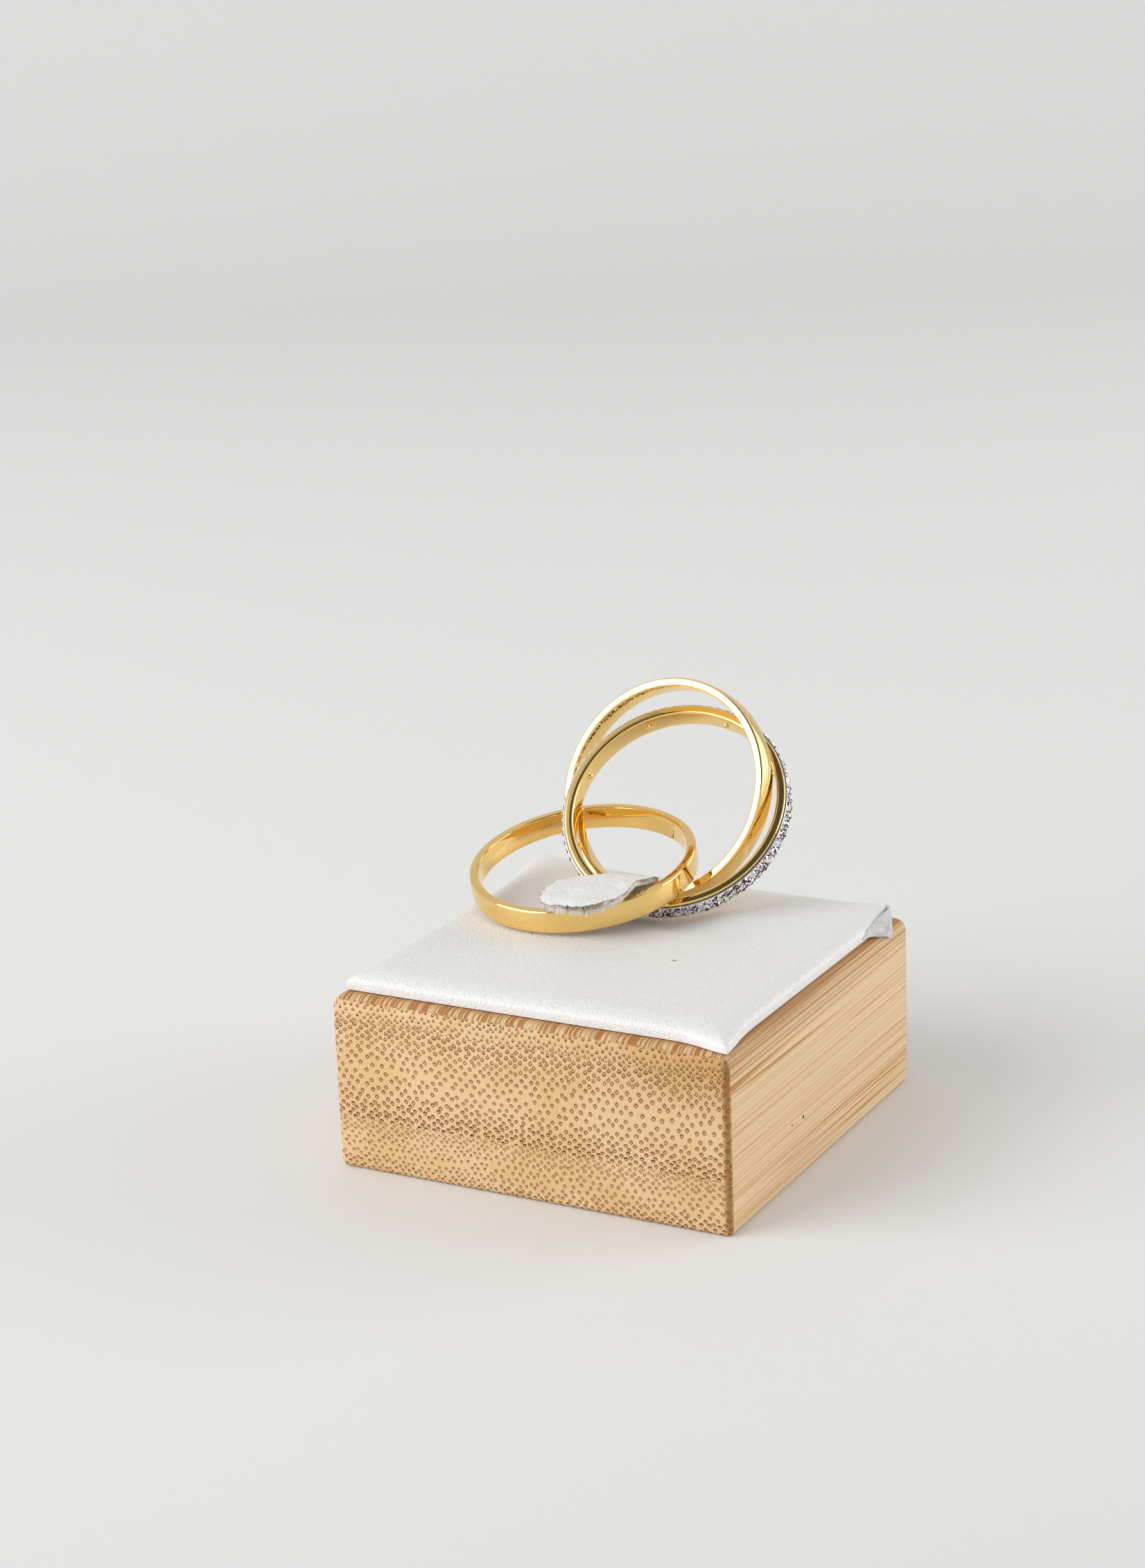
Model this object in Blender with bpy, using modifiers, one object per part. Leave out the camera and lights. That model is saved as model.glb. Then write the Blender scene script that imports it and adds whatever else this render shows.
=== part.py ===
"""Rolling ring of three linked bands on a wooden display block with a leather pad.

Blender 4.5 script, metres, +Z up. The origin is the middle of the block's
underside. The block's end grain faces -Y. One plain band lies on the pad under a
leather tongue, and a second plain band and a stone-set band stand up through it.
Each pair of bands is linked: every band passes once through each of the others.
"""

import math

import bmesh
import bpy
from mathutils import Vector

MM = 0.001

# Display block, with its own rounding along the top, the corners and the foot
BLOCK_SIDE = 38 * MM
BLOCK_HEIGHT = 16 * MM
TOP_ROUNDING = 1.2 * MM
CORNER_ROUNDING = 0.6 * MM
FOOT_ROUNDING = 0.6 * MM

# Leather-covered pad on the block
PAD_SIZE_X = 36.4 * MM
PAD_SIZE_Y = 35.0 * MM
PAD_SEAT_GAP = 0.1 * MM
PAD_THICKNESS = 1.55 * MM
PAD_EDGE_ROLL = 2.2 * MM
PAD_EDGE_THICKNESS = 0.55 * MM
PAD_CELLS = 20

# Three of the pad's corners are drawn out sideways, or curl up or down, in mm
PAD_CORNERS = [
    {"side_x": 1, "side_y": -1, "pull_x": 0.6, "pull_y": -1.1, "lift": -0.25, "reach": 2.6},
    {"side_x": 1, "side_y": 1, "pull_x": -0.3, "pull_y": -0.3, "lift": 0.35, "reach": 2.4},
    {"side_x": -1, "side_y": 1, "pull_x": -0.2, "pull_y": 0.2, "lift": 0.80, "reach": 6.0},
]

# Dents that the two standing bands press into the pad, in mm
DENTS = [
    {"x": -3.1, "y": 10.4, "reach_x": 5.4, "reach_y": 2.9, "depth": 0.80},
    {"x": -0.5, "y": 6.2, "reach_x": 5.4, "reach_y": 2.9, "depth": 0.62},
]

# All three bands share one bore, wall and width
BORE_RADIUS = 9.6 * MM
WALL = 0.85 * MM
BAND_WIDTH = 2.2 * MM
EDGE_BEVEL = 0.13 * MM
BAND_STEPS = 72
OUTER_RADIUS = BORE_RADIUS + WALL

# Stone strip, seated in a channel round the outside of its band
CHANNEL_DEPTH = 0.25 * MM
STRIP_WIDTH = 1.8 * MM
STRIP_GAP = 0.07 * MM
STRIP_BEVEL = 0.04 * MM
STRIP_RADIUS = OUTER_RADIUS + 0.15 * MM

# Drain holes through the channel's floor
DRAIN_HOLES = 8
DRAIN_RADIUS = 0.28 * MM
DRAIN_START_DEG = 162.8

# Round cut stones in two staggered rows, with their lower edge sunk in the strip
STONES_PER_ROW = BAND_STEPS
ROW_OFFSET = 0.42 * MM
STONE_RADIUS = 0.42 * MM
TABLE_RADIUS = 0.21 * MM
STONE_FACETS = 8
STONE_SINK = 0.05 * MM
STONE_HEIGHT = 0.24 * MM

# Each band's middle, in mm, and the compass angle and rise of its axis, in degrees
LYING_POSE = {"middle": (-7.94, 7.29, 20.98), "azimuth": -96.35, "rise": 78.53}
STANDING_POSE = {"middle": (-2.85, 14.45, 26.81), "azimuth": -95.47, "rise": 26.87}
STONE_POSE = {"middle": (-1.33, 13.26, 25.42), "azimuth": -82.88, "rise": 44.85}

# Leather tongue, in mm: from its tip, hanging over the lying band's near wall, up
# to a crest inside the band and down to the pad. Heights are the leather's middle.
TAB_THICKNESS = 0.9 * MM
TAB_COLUMNS = 8
TAB_ROWS = 24
TAB_SECTIONS = [
    {"y": -3.58, "left": -5.5, "right": -2.7, "z_left": 20.15, "z_middle": 20.10, "z_right": 20.35},
    {"y": -3.50, "left": -6.2, "right": -1.9, "z_left": 20.55, "z_middle": 20.62, "z_right": 20.85},
    {"y": -2.80, "left": -6.8, "right": -1.1, "z_left": 20.92, "z_middle": 21.05, "z_right": 21.12},
    {"y": -1.60, "left": -7.3, "right": -0.4, "z_left": 21.02, "z_middle": 21.22, "z_right": 21.25},
    {"y": 0.00, "left": -7.7, "right": 0.2, "z_left": 20.95, "z_middle": 21.40, "z_right": 21.58},
    {"y": 1.80, "left": -8.0, "right": 0.1, "z_left": 20.70, "z_middle": 21.44, "z_right": 21.92},
    {"y": 3.50, "left": -8.2, "right": 0.5, "z_left": 20.40, "z_middle": 21.38, "z_right": 21.80},
    {"y": 4.65, "left": -8.2, "right": 0.8, "z_left": 20.00, "z_middle": 21.10, "z_right": 21.55},
    {"y": 4.75, "left": -8.0, "right": 0.7, "z_left": 19.40, "z_middle": 20.20, "z_right": 20.60},
    {"y": 4.30, "left": -7.8, "right": 0.5, "z_left": 18.80, "z_middle": 19.20, "z_right": 19.40},
    {"y": 4.00, "left": -7.6, "right": 0.2, "z_left": 18.15, "z_middle": 18.15, "z_right": 18.20},
]

FINISHES = {
    "bamboo": {"color": (0.60, 0.40, 0.22), "roughness": 0.62, "metallic": 0.0},
    "white_leather": {"color": (0.80, 0.79, 0.77), "roughness": 0.55, "metallic": 0.0},
    "yellow_gold": {"color": (0.93, 0.66, 0.26), "roughness": 0.10, "metallic": 1.0},
    "white_metal": {"color": (0.82, 0.82, 0.84), "roughness": 0.14, "metallic": 1.0},
}


def clear_scene():
    for thing in list(bpy.data.objects):
        bpy.data.objects.remove(thing, do_unlink=True)


def make_collection(name):
    collection = bpy.data.collections.new(name)
    bpy.context.scene.collection.children.link(collection)
    return collection


def make_material(name, finish):
    look = FINISHES[finish]
    material = bpy.data.materials.new(name)
    material.use_nodes = True
    shader = material.node_tree.nodes["Principled BSDF"]
    shader.inputs["Base Color"].default_value = (*look["color"], 1.0)
    shader.inputs["Roughness"].default_value = look["roughness"]
    shader.inputs["Metallic"].default_value = look["metallic"]
    return material


def add_object(mesh, collection, finish=None):
    """Link a mesh as an object of the same name, with a material of its own."""
    thing = bpy.data.objects.new(mesh.name, mesh)
    collection.objects.link(thing)
    if finish:
        mesh.materials.append(make_material(mesh.name + "_finish", finish))
    return thing


def add_cutter(mesh, collection):
    cutter = add_object(mesh, collection)
    cutter.hide_render = True
    cutter.display_type = 'WIRE'
    return cutter


def mesh_from_bmesh(name, builder):
    mesh = bpy.data.meshes.new(name)
    builder.to_mesh(mesh)
    builder.free()
    return mesh


def smooth(mesh, angle_deg):
    mesh.shade_smooth()
    mesh.set_sharp_from_angle(angle=math.radians(angle_deg))


def edge_rounding(edge):
    """Rounding of one of the block's edges: upright corner, top or foot."""
    first, second = (vert.co.z for vert in edge.verts)
    if first * second < 0:
        return CORNER_ROUNDING
    return TOP_ROUNDING if first > 0 else FOOT_ROUNDING


def build_block(parts):
    """Square block standing on z = 0, with every edge rounded."""
    builder = bmesh.new()
    bmesh.ops.create_cube(builder, size=1.0)
    bmesh.ops.scale(builder, vec=(BLOCK_SIDE, BLOCK_SIDE, BLOCK_HEIGHT), verts=builder.verts)
    weights = builder.edges.layers.float.new("bevel_weight_edge")
    for edge in builder.edges:
        edge[weights] = edge_rounding(edge) / TOP_ROUNDING
    mesh = mesh_from_bmesh("display_block", builder)
    block = add_object(mesh, parts, "bamboo")
    block.location.z = BLOCK_HEIGHT / 2
    rounding = block.modifiers.new("rounding", 'BEVEL')
    rounding.limit_method = 'WEIGHT'
    rounding.width = TOP_ROUNDING
    rounding.segments = 3
    return block


def edge_roll(distance):
    """Share of the pad's full height at this distance inside its edge."""
    inside = min(max(distance / PAD_EDGE_ROLL, 0.0), 1.0)
    return math.sqrt(1.0 - (1.0 - inside) ** 2)


def dent_depth(x, y):
    """How far the standing bands press the leather down at this place."""
    depth = 0.0
    for dent in DENTS:
        across = (x / MM - dent["x"]) / dent["reach_x"]
        along = (y / MM - dent["y"]) / dent["reach_y"]
        depth = max(depth, dent["depth"] * MM * math.exp(-across ** 4 - along ** 4))
    return depth


def corner_shift(x, y):
    """How far the drawn-out corners move this place of the pad, as a vector."""
    shift = Vector((0.0, 0.0, 0.0))
    for corner in PAD_CORNERS:
        away = math.hypot(corner["side_x"] * PAD_SIZE_X / 2 - x,
                          corner["side_y"] * PAD_SIZE_Y / 2 - y)
        share = math.exp(-(away / (corner["reach"] * MM)) ** 2)
        pull = Vector((corner["pull_x"], corner["pull_y"], corner["lift"])) * MM
        shift += pull * share
    return shift


def pad_height(x, y):
    """Thickness of the pad at this place, before its corners are moved."""
    inside = min(PAD_SIZE_X / 2 - abs(x), PAD_SIZE_Y / 2 - abs(y))
    crown = (PAD_THICKNESS - PAD_EDGE_THICKNESS) * edge_roll(inside)
    return PAD_EDGE_THICKNESS + crown - dent_depth(x, y)


def spread_to_edges(share, size):
    """A place from -size/2 to size/2, with grid lines closer together near the ends."""
    outwards = 2 * share - 1
    return size / 2 * math.copysign(1 - (1 - abs(outwards)) ** 1.5, outwards)


def build_pad(parts):
    """Leather-covered pad: flat underside, soft rolled edges, dents and corners."""
    builder = bmesh.new()
    bmesh.ops.create_grid(builder, x_segments=PAD_CELLS, y_segments=PAD_CELLS, size=0.5)
    raised = bmesh.ops.extrude_face_region(builder, geom=list(builder.faces))["geom"]
    upper = {item for item in raised if isinstance(item, bmesh.types.BMVert)}
    for vert in builder.verts:
        x = spread_to_edges(vert.co.x + 0.5, PAD_SIZE_X)
        y = spread_to_edges(vert.co.y + 0.5, PAD_SIZE_Y)
        shift = corner_shift(x, y)
        z = pad_height(x, y) + shift.z if vert in upper else 0.0
        vert.co = (x + shift.x, y + shift.y, z)
    bmesh.ops.recalc_face_normals(builder, faces=builder.faces)
    mesh = mesh_from_bmesh("leather_pad", builder)
    smooth(mesh, 50)
    pad = add_object(mesh, parts, "white_leather")
    pad.location.z = BLOCK_HEIGHT + PAD_SEAT_GAP
    return pad


def along_curve(values, share):
    """The value at this share of a smooth curve through evenly spaced values."""
    ends = [2 * values[0] - values[1], *values, 2 * values[-1] - values[-2]]
    place = share * (len(values) - 1)
    first = min(int(place), len(values) - 2)
    t = place - first
    before, here, there, after = ends[first:first + 4]
    slope_here = (there - before) / 2
    slope_there = (after - here) / 2
    rest = 3 * (there - here) - 2 * slope_here - slope_there
    turn = 2 * (here - there) + slope_here + slope_there
    return here + t * (slope_here + t * (rest + t * turn))


def tab_point(across, along):
    """A point on the tongue's middle surface, both shares from 0 to 1."""
    here = {name: along_curve([row[name] for row in TAB_SECTIONS], along)
            for name in TAB_SECTIONS[0]}
    x = here["left"] + (here["right"] - here["left"]) * across
    z = (here["z_left"] * (1 - across) * (1 - 2 * across)
         + here["z_middle"] * 4 * across * (1 - across)
         + here["z_right"] * across * (2 * across - 1))
    return Vector((x, here["y"], z)) * MM


def build_tab(parts):
    """Leather tongue: a grid laid through its sections and given a thickness."""
    builder = bmesh.new()
    bmesh.ops.create_grid(builder, x_segments=TAB_COLUMNS, y_segments=TAB_ROWS, size=0.5)
    for vert in builder.verts:
        vert.co = tab_point(vert.co.x + 0.5, vert.co.y + 0.5)
    mesh = mesh_from_bmesh("leather_tab", builder)
    smooth(mesh, 50)
    tab = add_object(mesh, parts, "white_leather")
    wall = tab.modifiers.new("leather_thickness", 'SOLIDIFY')
    wall.thickness = TAB_THICKNESS
    wall.offset = 0.0
    wall.use_even_offset = True
    return tab


def bevelled_section(inner, outer, half_width, bevel):
    """Rectangle with small bevels, as (radius, height) down its outer side first."""
    return [
        (outer - bevel, half_width), (outer, half_width - bevel),
        (outer, bevel - half_width), (outer - bevel, -half_width),
        (inner + bevel, -half_width), (inner, bevel - half_width),
        (inner, half_width - bevel), (inner + bevel, half_width),
    ]


def channelled_section():
    """The stone band's section: the plain one with a channel for the strip."""
    section = bevelled_section(BORE_RADIUS, OUTER_RADIUS, BAND_WIDTH / 2, EDGE_BEVEL)
    lip = STRIP_WIDTH / 2 + STRIP_GAP
    floor = OUTER_RADIUS - CHANNEL_DEPTH
    channel = [(OUTER_RADIUS, lip), (floor, lip), (floor, -lip), (OUTER_RADIUS, -lip)]
    return section[:2] + channel + section[2:]


def add_turned(name, section, pose, parts, finish):
    """Turn a closed section once round local Z and put it on its band's axis."""
    mesh = bpy.data.meshes.new(name)
    points = [(radius, 0.0, height) for radius, height in section]
    loop = [(i, (i + 1) % len(section)) for i in range(len(section))]
    mesh.from_pydata(points, loop, [])
    thing = add_object(mesh, parts, finish)
    turning = thing.modifiers.new("turning", 'SCREW')
    turning.angle = 2 * math.pi
    turning.steps = BAND_STEPS
    turning.render_steps = BAND_STEPS
    turning.use_merge_vertices = True
    turning.merge_threshold = 0.001 * MM
    place_on_axis(thing, pose)
    return thing


def place_on_axis(thing, pose):
    """Put a turned piece's middle and its local Z where the band's axis is."""
    thing.location = Vector(pose["middle"]) * MM
    lean = math.radians(90 - pose["rise"])
    thing.rotation_euler = (0.0, lean, math.radians(pose["azimuth"]))


def add_boolean(thing, operation, other):
    joining = thing.modifiers.new(other.name, 'BOOLEAN')
    joining.operation = operation
    joining.solver = 'EXACT'
    joining.object = other


def build_plain_band(name, pose, parts):
    section = bevelled_section(BORE_RADIUS, OUTER_RADIUS, BAND_WIDTH / 2, EDGE_BEVEL)
    return add_turned(name, section, pose, parts, "yellow_gold")


def add_radial_cone(builder, angle, radius, height, wide, narrow, length, sides):
    """Cone or rod that stands on a band, pointing straight out from its axis."""
    verts = bmesh.ops.create_cone(builder, cap_ends=True, segments=sides, depth=length,
                                  radius1=wide, radius2=narrow)["verts"]
    outwards = Vector((math.cos(angle), math.sin(angle), 0.0))
    turn = outwards.to_track_quat('Z', 'Y').to_matrix()
    bmesh.ops.rotate(builder, verts=verts, cent=(0, 0, 0), matrix=turn)
    foot_to_middle = outwards * (radius + length / 2) + Vector((0, 0, height))
    bmesh.ops.translate(builder, verts=verts, vec=foot_to_middle)


def build_drain_cutter(cutters):
    """Rods that drill the drain holes from the bore into the channel."""
    builder = bmesh.new()
    for i in range(DRAIN_HOLES):
        angle = math.radians(DRAIN_START_DEG) + 2 * math.pi * i / DRAIN_HOLES
        add_radial_cone(builder, angle, BORE_RADIUS - WALL, 0.0,
                        DRAIN_RADIUS, DRAIN_RADIUS, 2 * WALL, 12)
    cutter = add_cutter(mesh_from_bmesh("drain_holes", builder), cutters)
    place_on_axis(cutter, STONE_POSE)
    return cutter


def build_stone_band(parts, cutters):
    """Gold band with a channel outside and drain holes through its floor."""
    band = add_turned("stone_band", channelled_section(), STONE_POSE, parts, "yellow_gold")
    add_boolean(band, 'DIFFERENCE', build_drain_cutter(cutters))
    return band


def build_stones(cutters):
    """The cut stones of both rows, each a flat table above eight slanted facets."""
    builder = bmesh.new()
    for row in (0, 1):
        height = ROW_OFFSET if row == 0 else -ROW_OFFSET
        for i in range(STONES_PER_ROW):
            angle = 2 * math.pi * (i + row / 2) / STONES_PER_ROW
            add_radial_cone(builder, angle, STRIP_RADIUS - STONE_SINK, height,
                            STONE_RADIUS, TABLE_RADIUS, STONE_HEIGHT, STONE_FACETS)
    stones = add_cutter(mesh_from_bmesh("stones", builder), cutters)
    place_on_axis(stones, STONE_POSE)
    return stones


def build_stone_strip(parts, cutters):
    """White strip in the band's channel, fused with its two rows of stones."""
    inner = OUTER_RADIUS - CHANNEL_DEPTH + STRIP_GAP
    section = bevelled_section(inner, STRIP_RADIUS, STRIP_WIDTH / 2, STRIP_BEVEL)
    strip = add_turned("stone_strip", section, STONE_POSE, parts, "white_metal")
    add_boolean(strip, 'UNION', build_stones(cutters))
    return strip


def main():
    clear_scene()
    parts = make_collection("rolling_ring_display")
    cutters = make_collection("cutters")
    build_block(parts)
    build_pad(parts)
    build_tab(parts)
    build_plain_band("plain_band_lying", LYING_POSE, parts)
    build_plain_band("plain_band_standing", STANDING_POSE, parts)
    build_stone_band(parts, cutters)
    build_stone_strip(parts, cutters)


main()
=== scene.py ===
"""Looks of a rolling ring on its display block, laid out as a Blender add-on.

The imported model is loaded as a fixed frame. Each operator makes one piece, or one
group of like pieces, in that frame: metres, +Z up, origin in the middle of the
block's underside. Heights and sections that the pieces share with the model's
source are repeated here with the same values.
"""

import math

import bmesh
import bpy
from bpy.props import FloatProperty, FloatVectorProperty, IntProperty, PointerProperty
from mathutils import Matrix, Vector, noise


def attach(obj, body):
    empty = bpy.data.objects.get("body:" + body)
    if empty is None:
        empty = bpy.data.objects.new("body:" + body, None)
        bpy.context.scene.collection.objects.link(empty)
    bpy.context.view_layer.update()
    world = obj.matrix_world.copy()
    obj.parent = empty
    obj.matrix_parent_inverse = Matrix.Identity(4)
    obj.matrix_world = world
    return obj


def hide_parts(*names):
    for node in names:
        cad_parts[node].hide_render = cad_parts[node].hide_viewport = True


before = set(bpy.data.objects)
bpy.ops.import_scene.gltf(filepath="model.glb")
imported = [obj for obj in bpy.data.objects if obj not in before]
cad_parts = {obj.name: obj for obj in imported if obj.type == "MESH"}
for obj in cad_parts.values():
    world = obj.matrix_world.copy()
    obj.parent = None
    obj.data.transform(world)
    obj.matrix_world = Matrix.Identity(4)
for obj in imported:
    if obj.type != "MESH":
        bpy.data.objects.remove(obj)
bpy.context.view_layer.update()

bl_info = {
    "name": "Rolling Ring Display",
    "version": (1, 0, 0),
    "blender": (4, 5, 0),
    "location": "3D View > Sidebar > Ring Display",
    "description": "Finishes for three linked bands on a bamboo and leather display block",
    "category": "Object",
}

MM = 0.001

# Photograph and camera
PHOTO_WIDTH = 1652
PHOTO_HEIGHT = 2263
FOCAL_PIXELS = 4500
SENSOR_SIDE = 36.0
VIEW_AZIMUTH = math.radians(28.91)
VIEW_RISE = math.radians(16.45)
VIEW_ROLL = math.radians(-2.23)
VIEW_DISTANCE = 281.1 * MM
VIEW_SHIFT_RIGHT = -4.17 * MM
VIEW_SHIFT_UP = 30.60 * MM

# Studio: directions are compass angle and height in degrees, distances and sizes are metres.
# The room's two round patches, which only polished metal sees, have the angles from their
# middle at which they begin and are complete.
LIGHT_AIM = (-4, 8, 20)
KEY_LIGHT = {"direction": (-133.3, 28.1), "distance": 0.9, "size": (0.75, 0.75)}
SIDE_LIGHT = {"direction": (38.0, 12.0), "distance": 0.75, "size": (0.6, 0.28)}
ROOM_COLOR = (0.985, 0.985, 0.98)
DARK_PATCH = ((-61.0, 65.0), 31.2, 27.8)
DARK_PATCH_SHARE = 1.05
WINDOW_PATCH = ((66.0, 6.0), 34.0, 14.0)
WINDOW_STRENGTH = 1.1
MIRRORED_SHARE = 1.2
FLOOR_FRONT = -1.2
FLOOR_DEPTH = 0.9
FLOOR_HALF_WIDTH = 0.75
BACKDROP_BEND = 0.35
BACKDROP_HEIGHT = 0.9
BEND_STEPS = 12
# Painted shade on the floor towards the front: share of its colour, and from and to which distance in
# mm
NEAR_FLOOR_SHADE = 0.89
NEAR_FLOOR_REACH = (15.0, 170.0)

# Display block
BLOCK_SIDE = 38 * MM
BLOCK_HEIGHT = 16 * MM

# The block's three glued strips, seen on its end, in mm. The upper one has a finer head.
# The bundles' dark caps have a strength at a strip's foot, middle and head, and above the
# turn, a share of its height, they hang below.
STRIP_SEAM = 4.9
FOOT_SEAM = -3.5
FINE_FOOT = 13.9
STRIPS = [
    {"x": (-20, 20), "z": (FINE_FOOT, 16.2), "spacing": 0.44, "ring": 0.90,
     "caps": (0.70, 0.80, 1.0), "turn": -0.5},
    {"x": (-20, 20), "z": (STRIP_SEAM, FINE_FOOT), "spacing": 0.64, "ring": 1.0,
     "caps": (1.0, 0.45, 0.60), "turn": 0.80},
    {"x": (-20, FOOT_SEAM), "z": (-0.4, STRIP_SEAM), "spacing": 0.49, "ring": 0.70,
     "caps": (1.0, 0.80, 0.60), "turn": 1.5},
    {"x": (FOOT_SEAM, 20), "z": (-0.4, STRIP_SEAM), "spacing": 0.55, "ring": 0.95,
     "caps": (1.0, 0.40, 0.05), "turn": 1.5},
]
STRIP_EDGE_CROWDING = 0.055
CAP_FOOT_FADE = (0.42, 0.0)
CAP_HEAD_FADE = (0.62, 0.95)
CAP_TURN_SOFTNESS = 0.1
BUNDLE_RANDOMNESS = 0.42

# Where the wood's faces and shades begin and are complete, on the block's axes in mm
END_FACE = (18.35, 18.75)
RIB_ENDS = (16.02, 15.82)
RIB_RAGGEDNESS = 0.6
TOP_FACE = (15.25, 15.7)
AGED_X = (2.0, 18.0)
AGED_Z = (8.5, 15.5)
SCORCHED_X = (18.25, 18.75)
SIDE_FOOT = (7.5, 3.0)
SIDE_HEAD = (12.8, 14.8)
# Painted shade on the top around the pad: from and to this distance outside the pad's edge
PAD_SHADE_REACH = (1.1, 0.1)

# Noises that run along the fibres: scale and detail
STREAKS = {"fine": (3.2, 3.0), "line": (1.05, 1.0), "close_line": (2.5, 1.0), "broad": (0.28, 2.0)}

# Wood colours and flaws; each speck is its place and radius in mm
RING_COLOR = (0.215, 0.066, 0.014)
SCORCH_COLOR = (0.30, 0.125, 0.035)
# Colour of the ribs on the top, and of the painted shade around the pad
RIB_AND_SHADE_COLOR = (0.40, 0.165, 0.042)
SIDE_PALE = (0.80, 0.615, 0.395)
SIDE_TAN = (0.74, 0.535, 0.315)
SIDE_LINE = (0.49, 0.22, 0.055)
SIDE_BROWN = (0.30, 0.15, 0.06)
FLAW_COLOR = (0.05, 0.03, 0.02)
SIDE_SPECKS = ((19.0, -4.48, 5.27, 0.22), (19.0, -6.77, 5.38, 0.14))
SPECK_COLOR = (0.35, 0.33, 0.31)
PAD_SPECKS = ((6.81, -3.98, 0.0, 0.3), (-8.25, -2.3, 0.0, 0.2))

# Roughness from and to, and how deep each surface's relief is
WOOD_ROUGHNESS = (0.55, 0.72)
WOOD_GLOSS = 0.12
LEATHER_ROUGHNESS = (0.62, 0.45)
FLESH_ROUGHNESS = 0.95
STONE_ROUGHNESS = 0.05
FLOOR_ROUGHNESS = 0.7
GOLD_POLISH = {"mark_scale": 1.4, "roughness": (0.03, 0.075)}
WHITE_METAL_POLISH = {"mark_scale": 2.5, "roughness": (0.08, 0.2)}
WOOD_RELIEF = 0.04 * MM
GRAIN_RELIEF = 0.062 * MM
FLESH_RELIEF = 0.06 * MM
RELIEF_STRENGTH = 0.8

# Channel and drain holes of the stone band
CHANNEL_DEPTH = 0.25 * MM
CHANNEL_HALF_WIDTH = 0.97 * MM
HOLE_COUNT = 8
HOLE_RADIUS = 0.30 * MM
FIRST_HOLE = math.radians(162.8)

# White strip, its stones and beads. Heights count from the gold's outer face, and the
# rows stand on either side of the strip's middle. A cut stone's crown has three rings:
# share of the radius, share of the height, points for each facet, turn in steps.
STRIP_FOOT = -0.18 * MM
STRIP_FLOOR = -0.10 * MM
STRIP_RIM = 0.15 * MM
STRIP_HALF_WIDTH = 0.9 * MM
STRIP_FLOOR_HALF_WIDTH = 0.78 * MM
STRIP_ROUNDING = 0.04 * MM
STONE_HEIGHT = 0.20 * MM
STONE_SEAT = 0.12 * MM
STONE_ROW = 0.42 * MM
STONE_LEAN = 0.12
STONE_SEED = 5
BEAD_SEAT = 0.16 * MM
BEAD_ROWS = {"inner_beads": 0.14 * MM, "outer_beads": 0.76 * MM}
BEAD_SEED = 2
CROWN_LEVELS = ((0.54, 1.0, 1, 0.0), (0.80, 0.55, 1, 0.5), (1.0, 0.0, 2, 0.0))
# Painted reflections of the stones: dark and bright facets, and a few coloured glints
DARK_REFLECTION_FACET = (0.06, 0.045, 0.04)
BRIGHT_GLINT_FACET = (0.97, 0.94, 0.96)
FIRE_GLINT_FACET = (0.95, 0.62, 0.45)

# Leather-covered pad
PAD_SIZE_X = 36.4 * MM
PAD_SIZE_Y = 35.0 * MM
PAD_SEAT = BLOCK_HEIGHT + 0.1 * MM
PAD_THICKNESS = 1.55 * MM
PAD_EDGE_ROLL = 2.2 * MM
PAD_EDGE_THICKNESS = 0.55 * MM
PAD_CORNERS = [
    {"side_x": 1, "side_y": -1, "pull_x": 0.6, "pull_y": -1.1, "lift": -0.25, "reach": 2.6},
    {"side_x": 1, "side_y": 1, "pull_x": -0.3, "pull_y": -0.3, "lift": 0.35, "reach": 2.4},
    {"side_x": -1, "side_y": 1, "pull_x": -0.2, "pull_y": 0.2, "lift": 0.80, "reach": 6.0},
]
DENTS = [
    {"x": -3.1, "y": 10.4, "reach_x": 5.4, "reach_y": 2.9, "depth": 0.80},
    {"x": -0.5, "y": 6.2, "reach_x": 5.4, "reach_y": 2.9, "depth": 0.62},
]

# Leather tongue: its sections in mm; wear and ends as shares of its length. A ruffle is
# its size, its depth and a seed.
TAB_THICKNESS = 0.9 * MM
TAB_WEAR = 0.45
TAB_WEAR_START = 0.10
TAB_WEAR_REACH = 0.25
TAB_END_REACH = 0.08
SIDE_RUFFLE = (0.5 * MM, 0.14 * MM, 3.0)
END_RUFFLE = (0.5 * MM, 0.15 * MM, 7.0)
BROAD_RUFFLE = (1.1 * MM, 0.07 * MM, 11.0)
FINE_RUFFLE = (0.35 * MM, 0.03 * MM, 23.0)
TAB_SECTIONS = [
    {"y": -3.50, "left": -6.2, "right": -1.9, "z_left": 20.65, "z_middle": 20.75, "z_right": 20.90},
    {"y": -2.80, "left": -6.8, "right": -1.1, "z_left": 20.92, "z_middle": 21.05, "z_right": 21.12},
    {"y": -1.60, "left": -7.3, "right": -0.4, "z_left": 21.02, "z_middle": 21.22, "z_right": 21.25},
    {"y": 0.00, "left": -7.7, "right": 0.2, "z_left": 20.95, "z_middle": 21.40, "z_right": 21.58},
    {"y": 1.80, "left": -8.0, "right": 0.1, "z_left": 20.70, "z_middle": 21.44, "z_right": 21.92},
    {"y": 3.50, "left": -8.2, "right": 0.5, "z_left": 20.40, "z_middle": 21.38, "z_right": 21.80},
    {"y": 4.65, "left": -8.2, "right": 0.8, "z_left": 20.00, "z_middle": 21.10, "z_right": 21.55},
    {"y": 4.75, "left": -8.0, "right": 0.7, "z_left": 19.40, "z_middle": 20.20, "z_right": 20.60},
    {"y": 4.30, "left": -7.8, "right": 0.5, "z_left": 18.80, "z_middle": 19.20, "z_right": 19.40},
    {"y": 4.00, "left": -7.6, "right": 0.2, "z_left": 18.15, "z_middle": 18.15, "z_right": 18.20},
]

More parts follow.
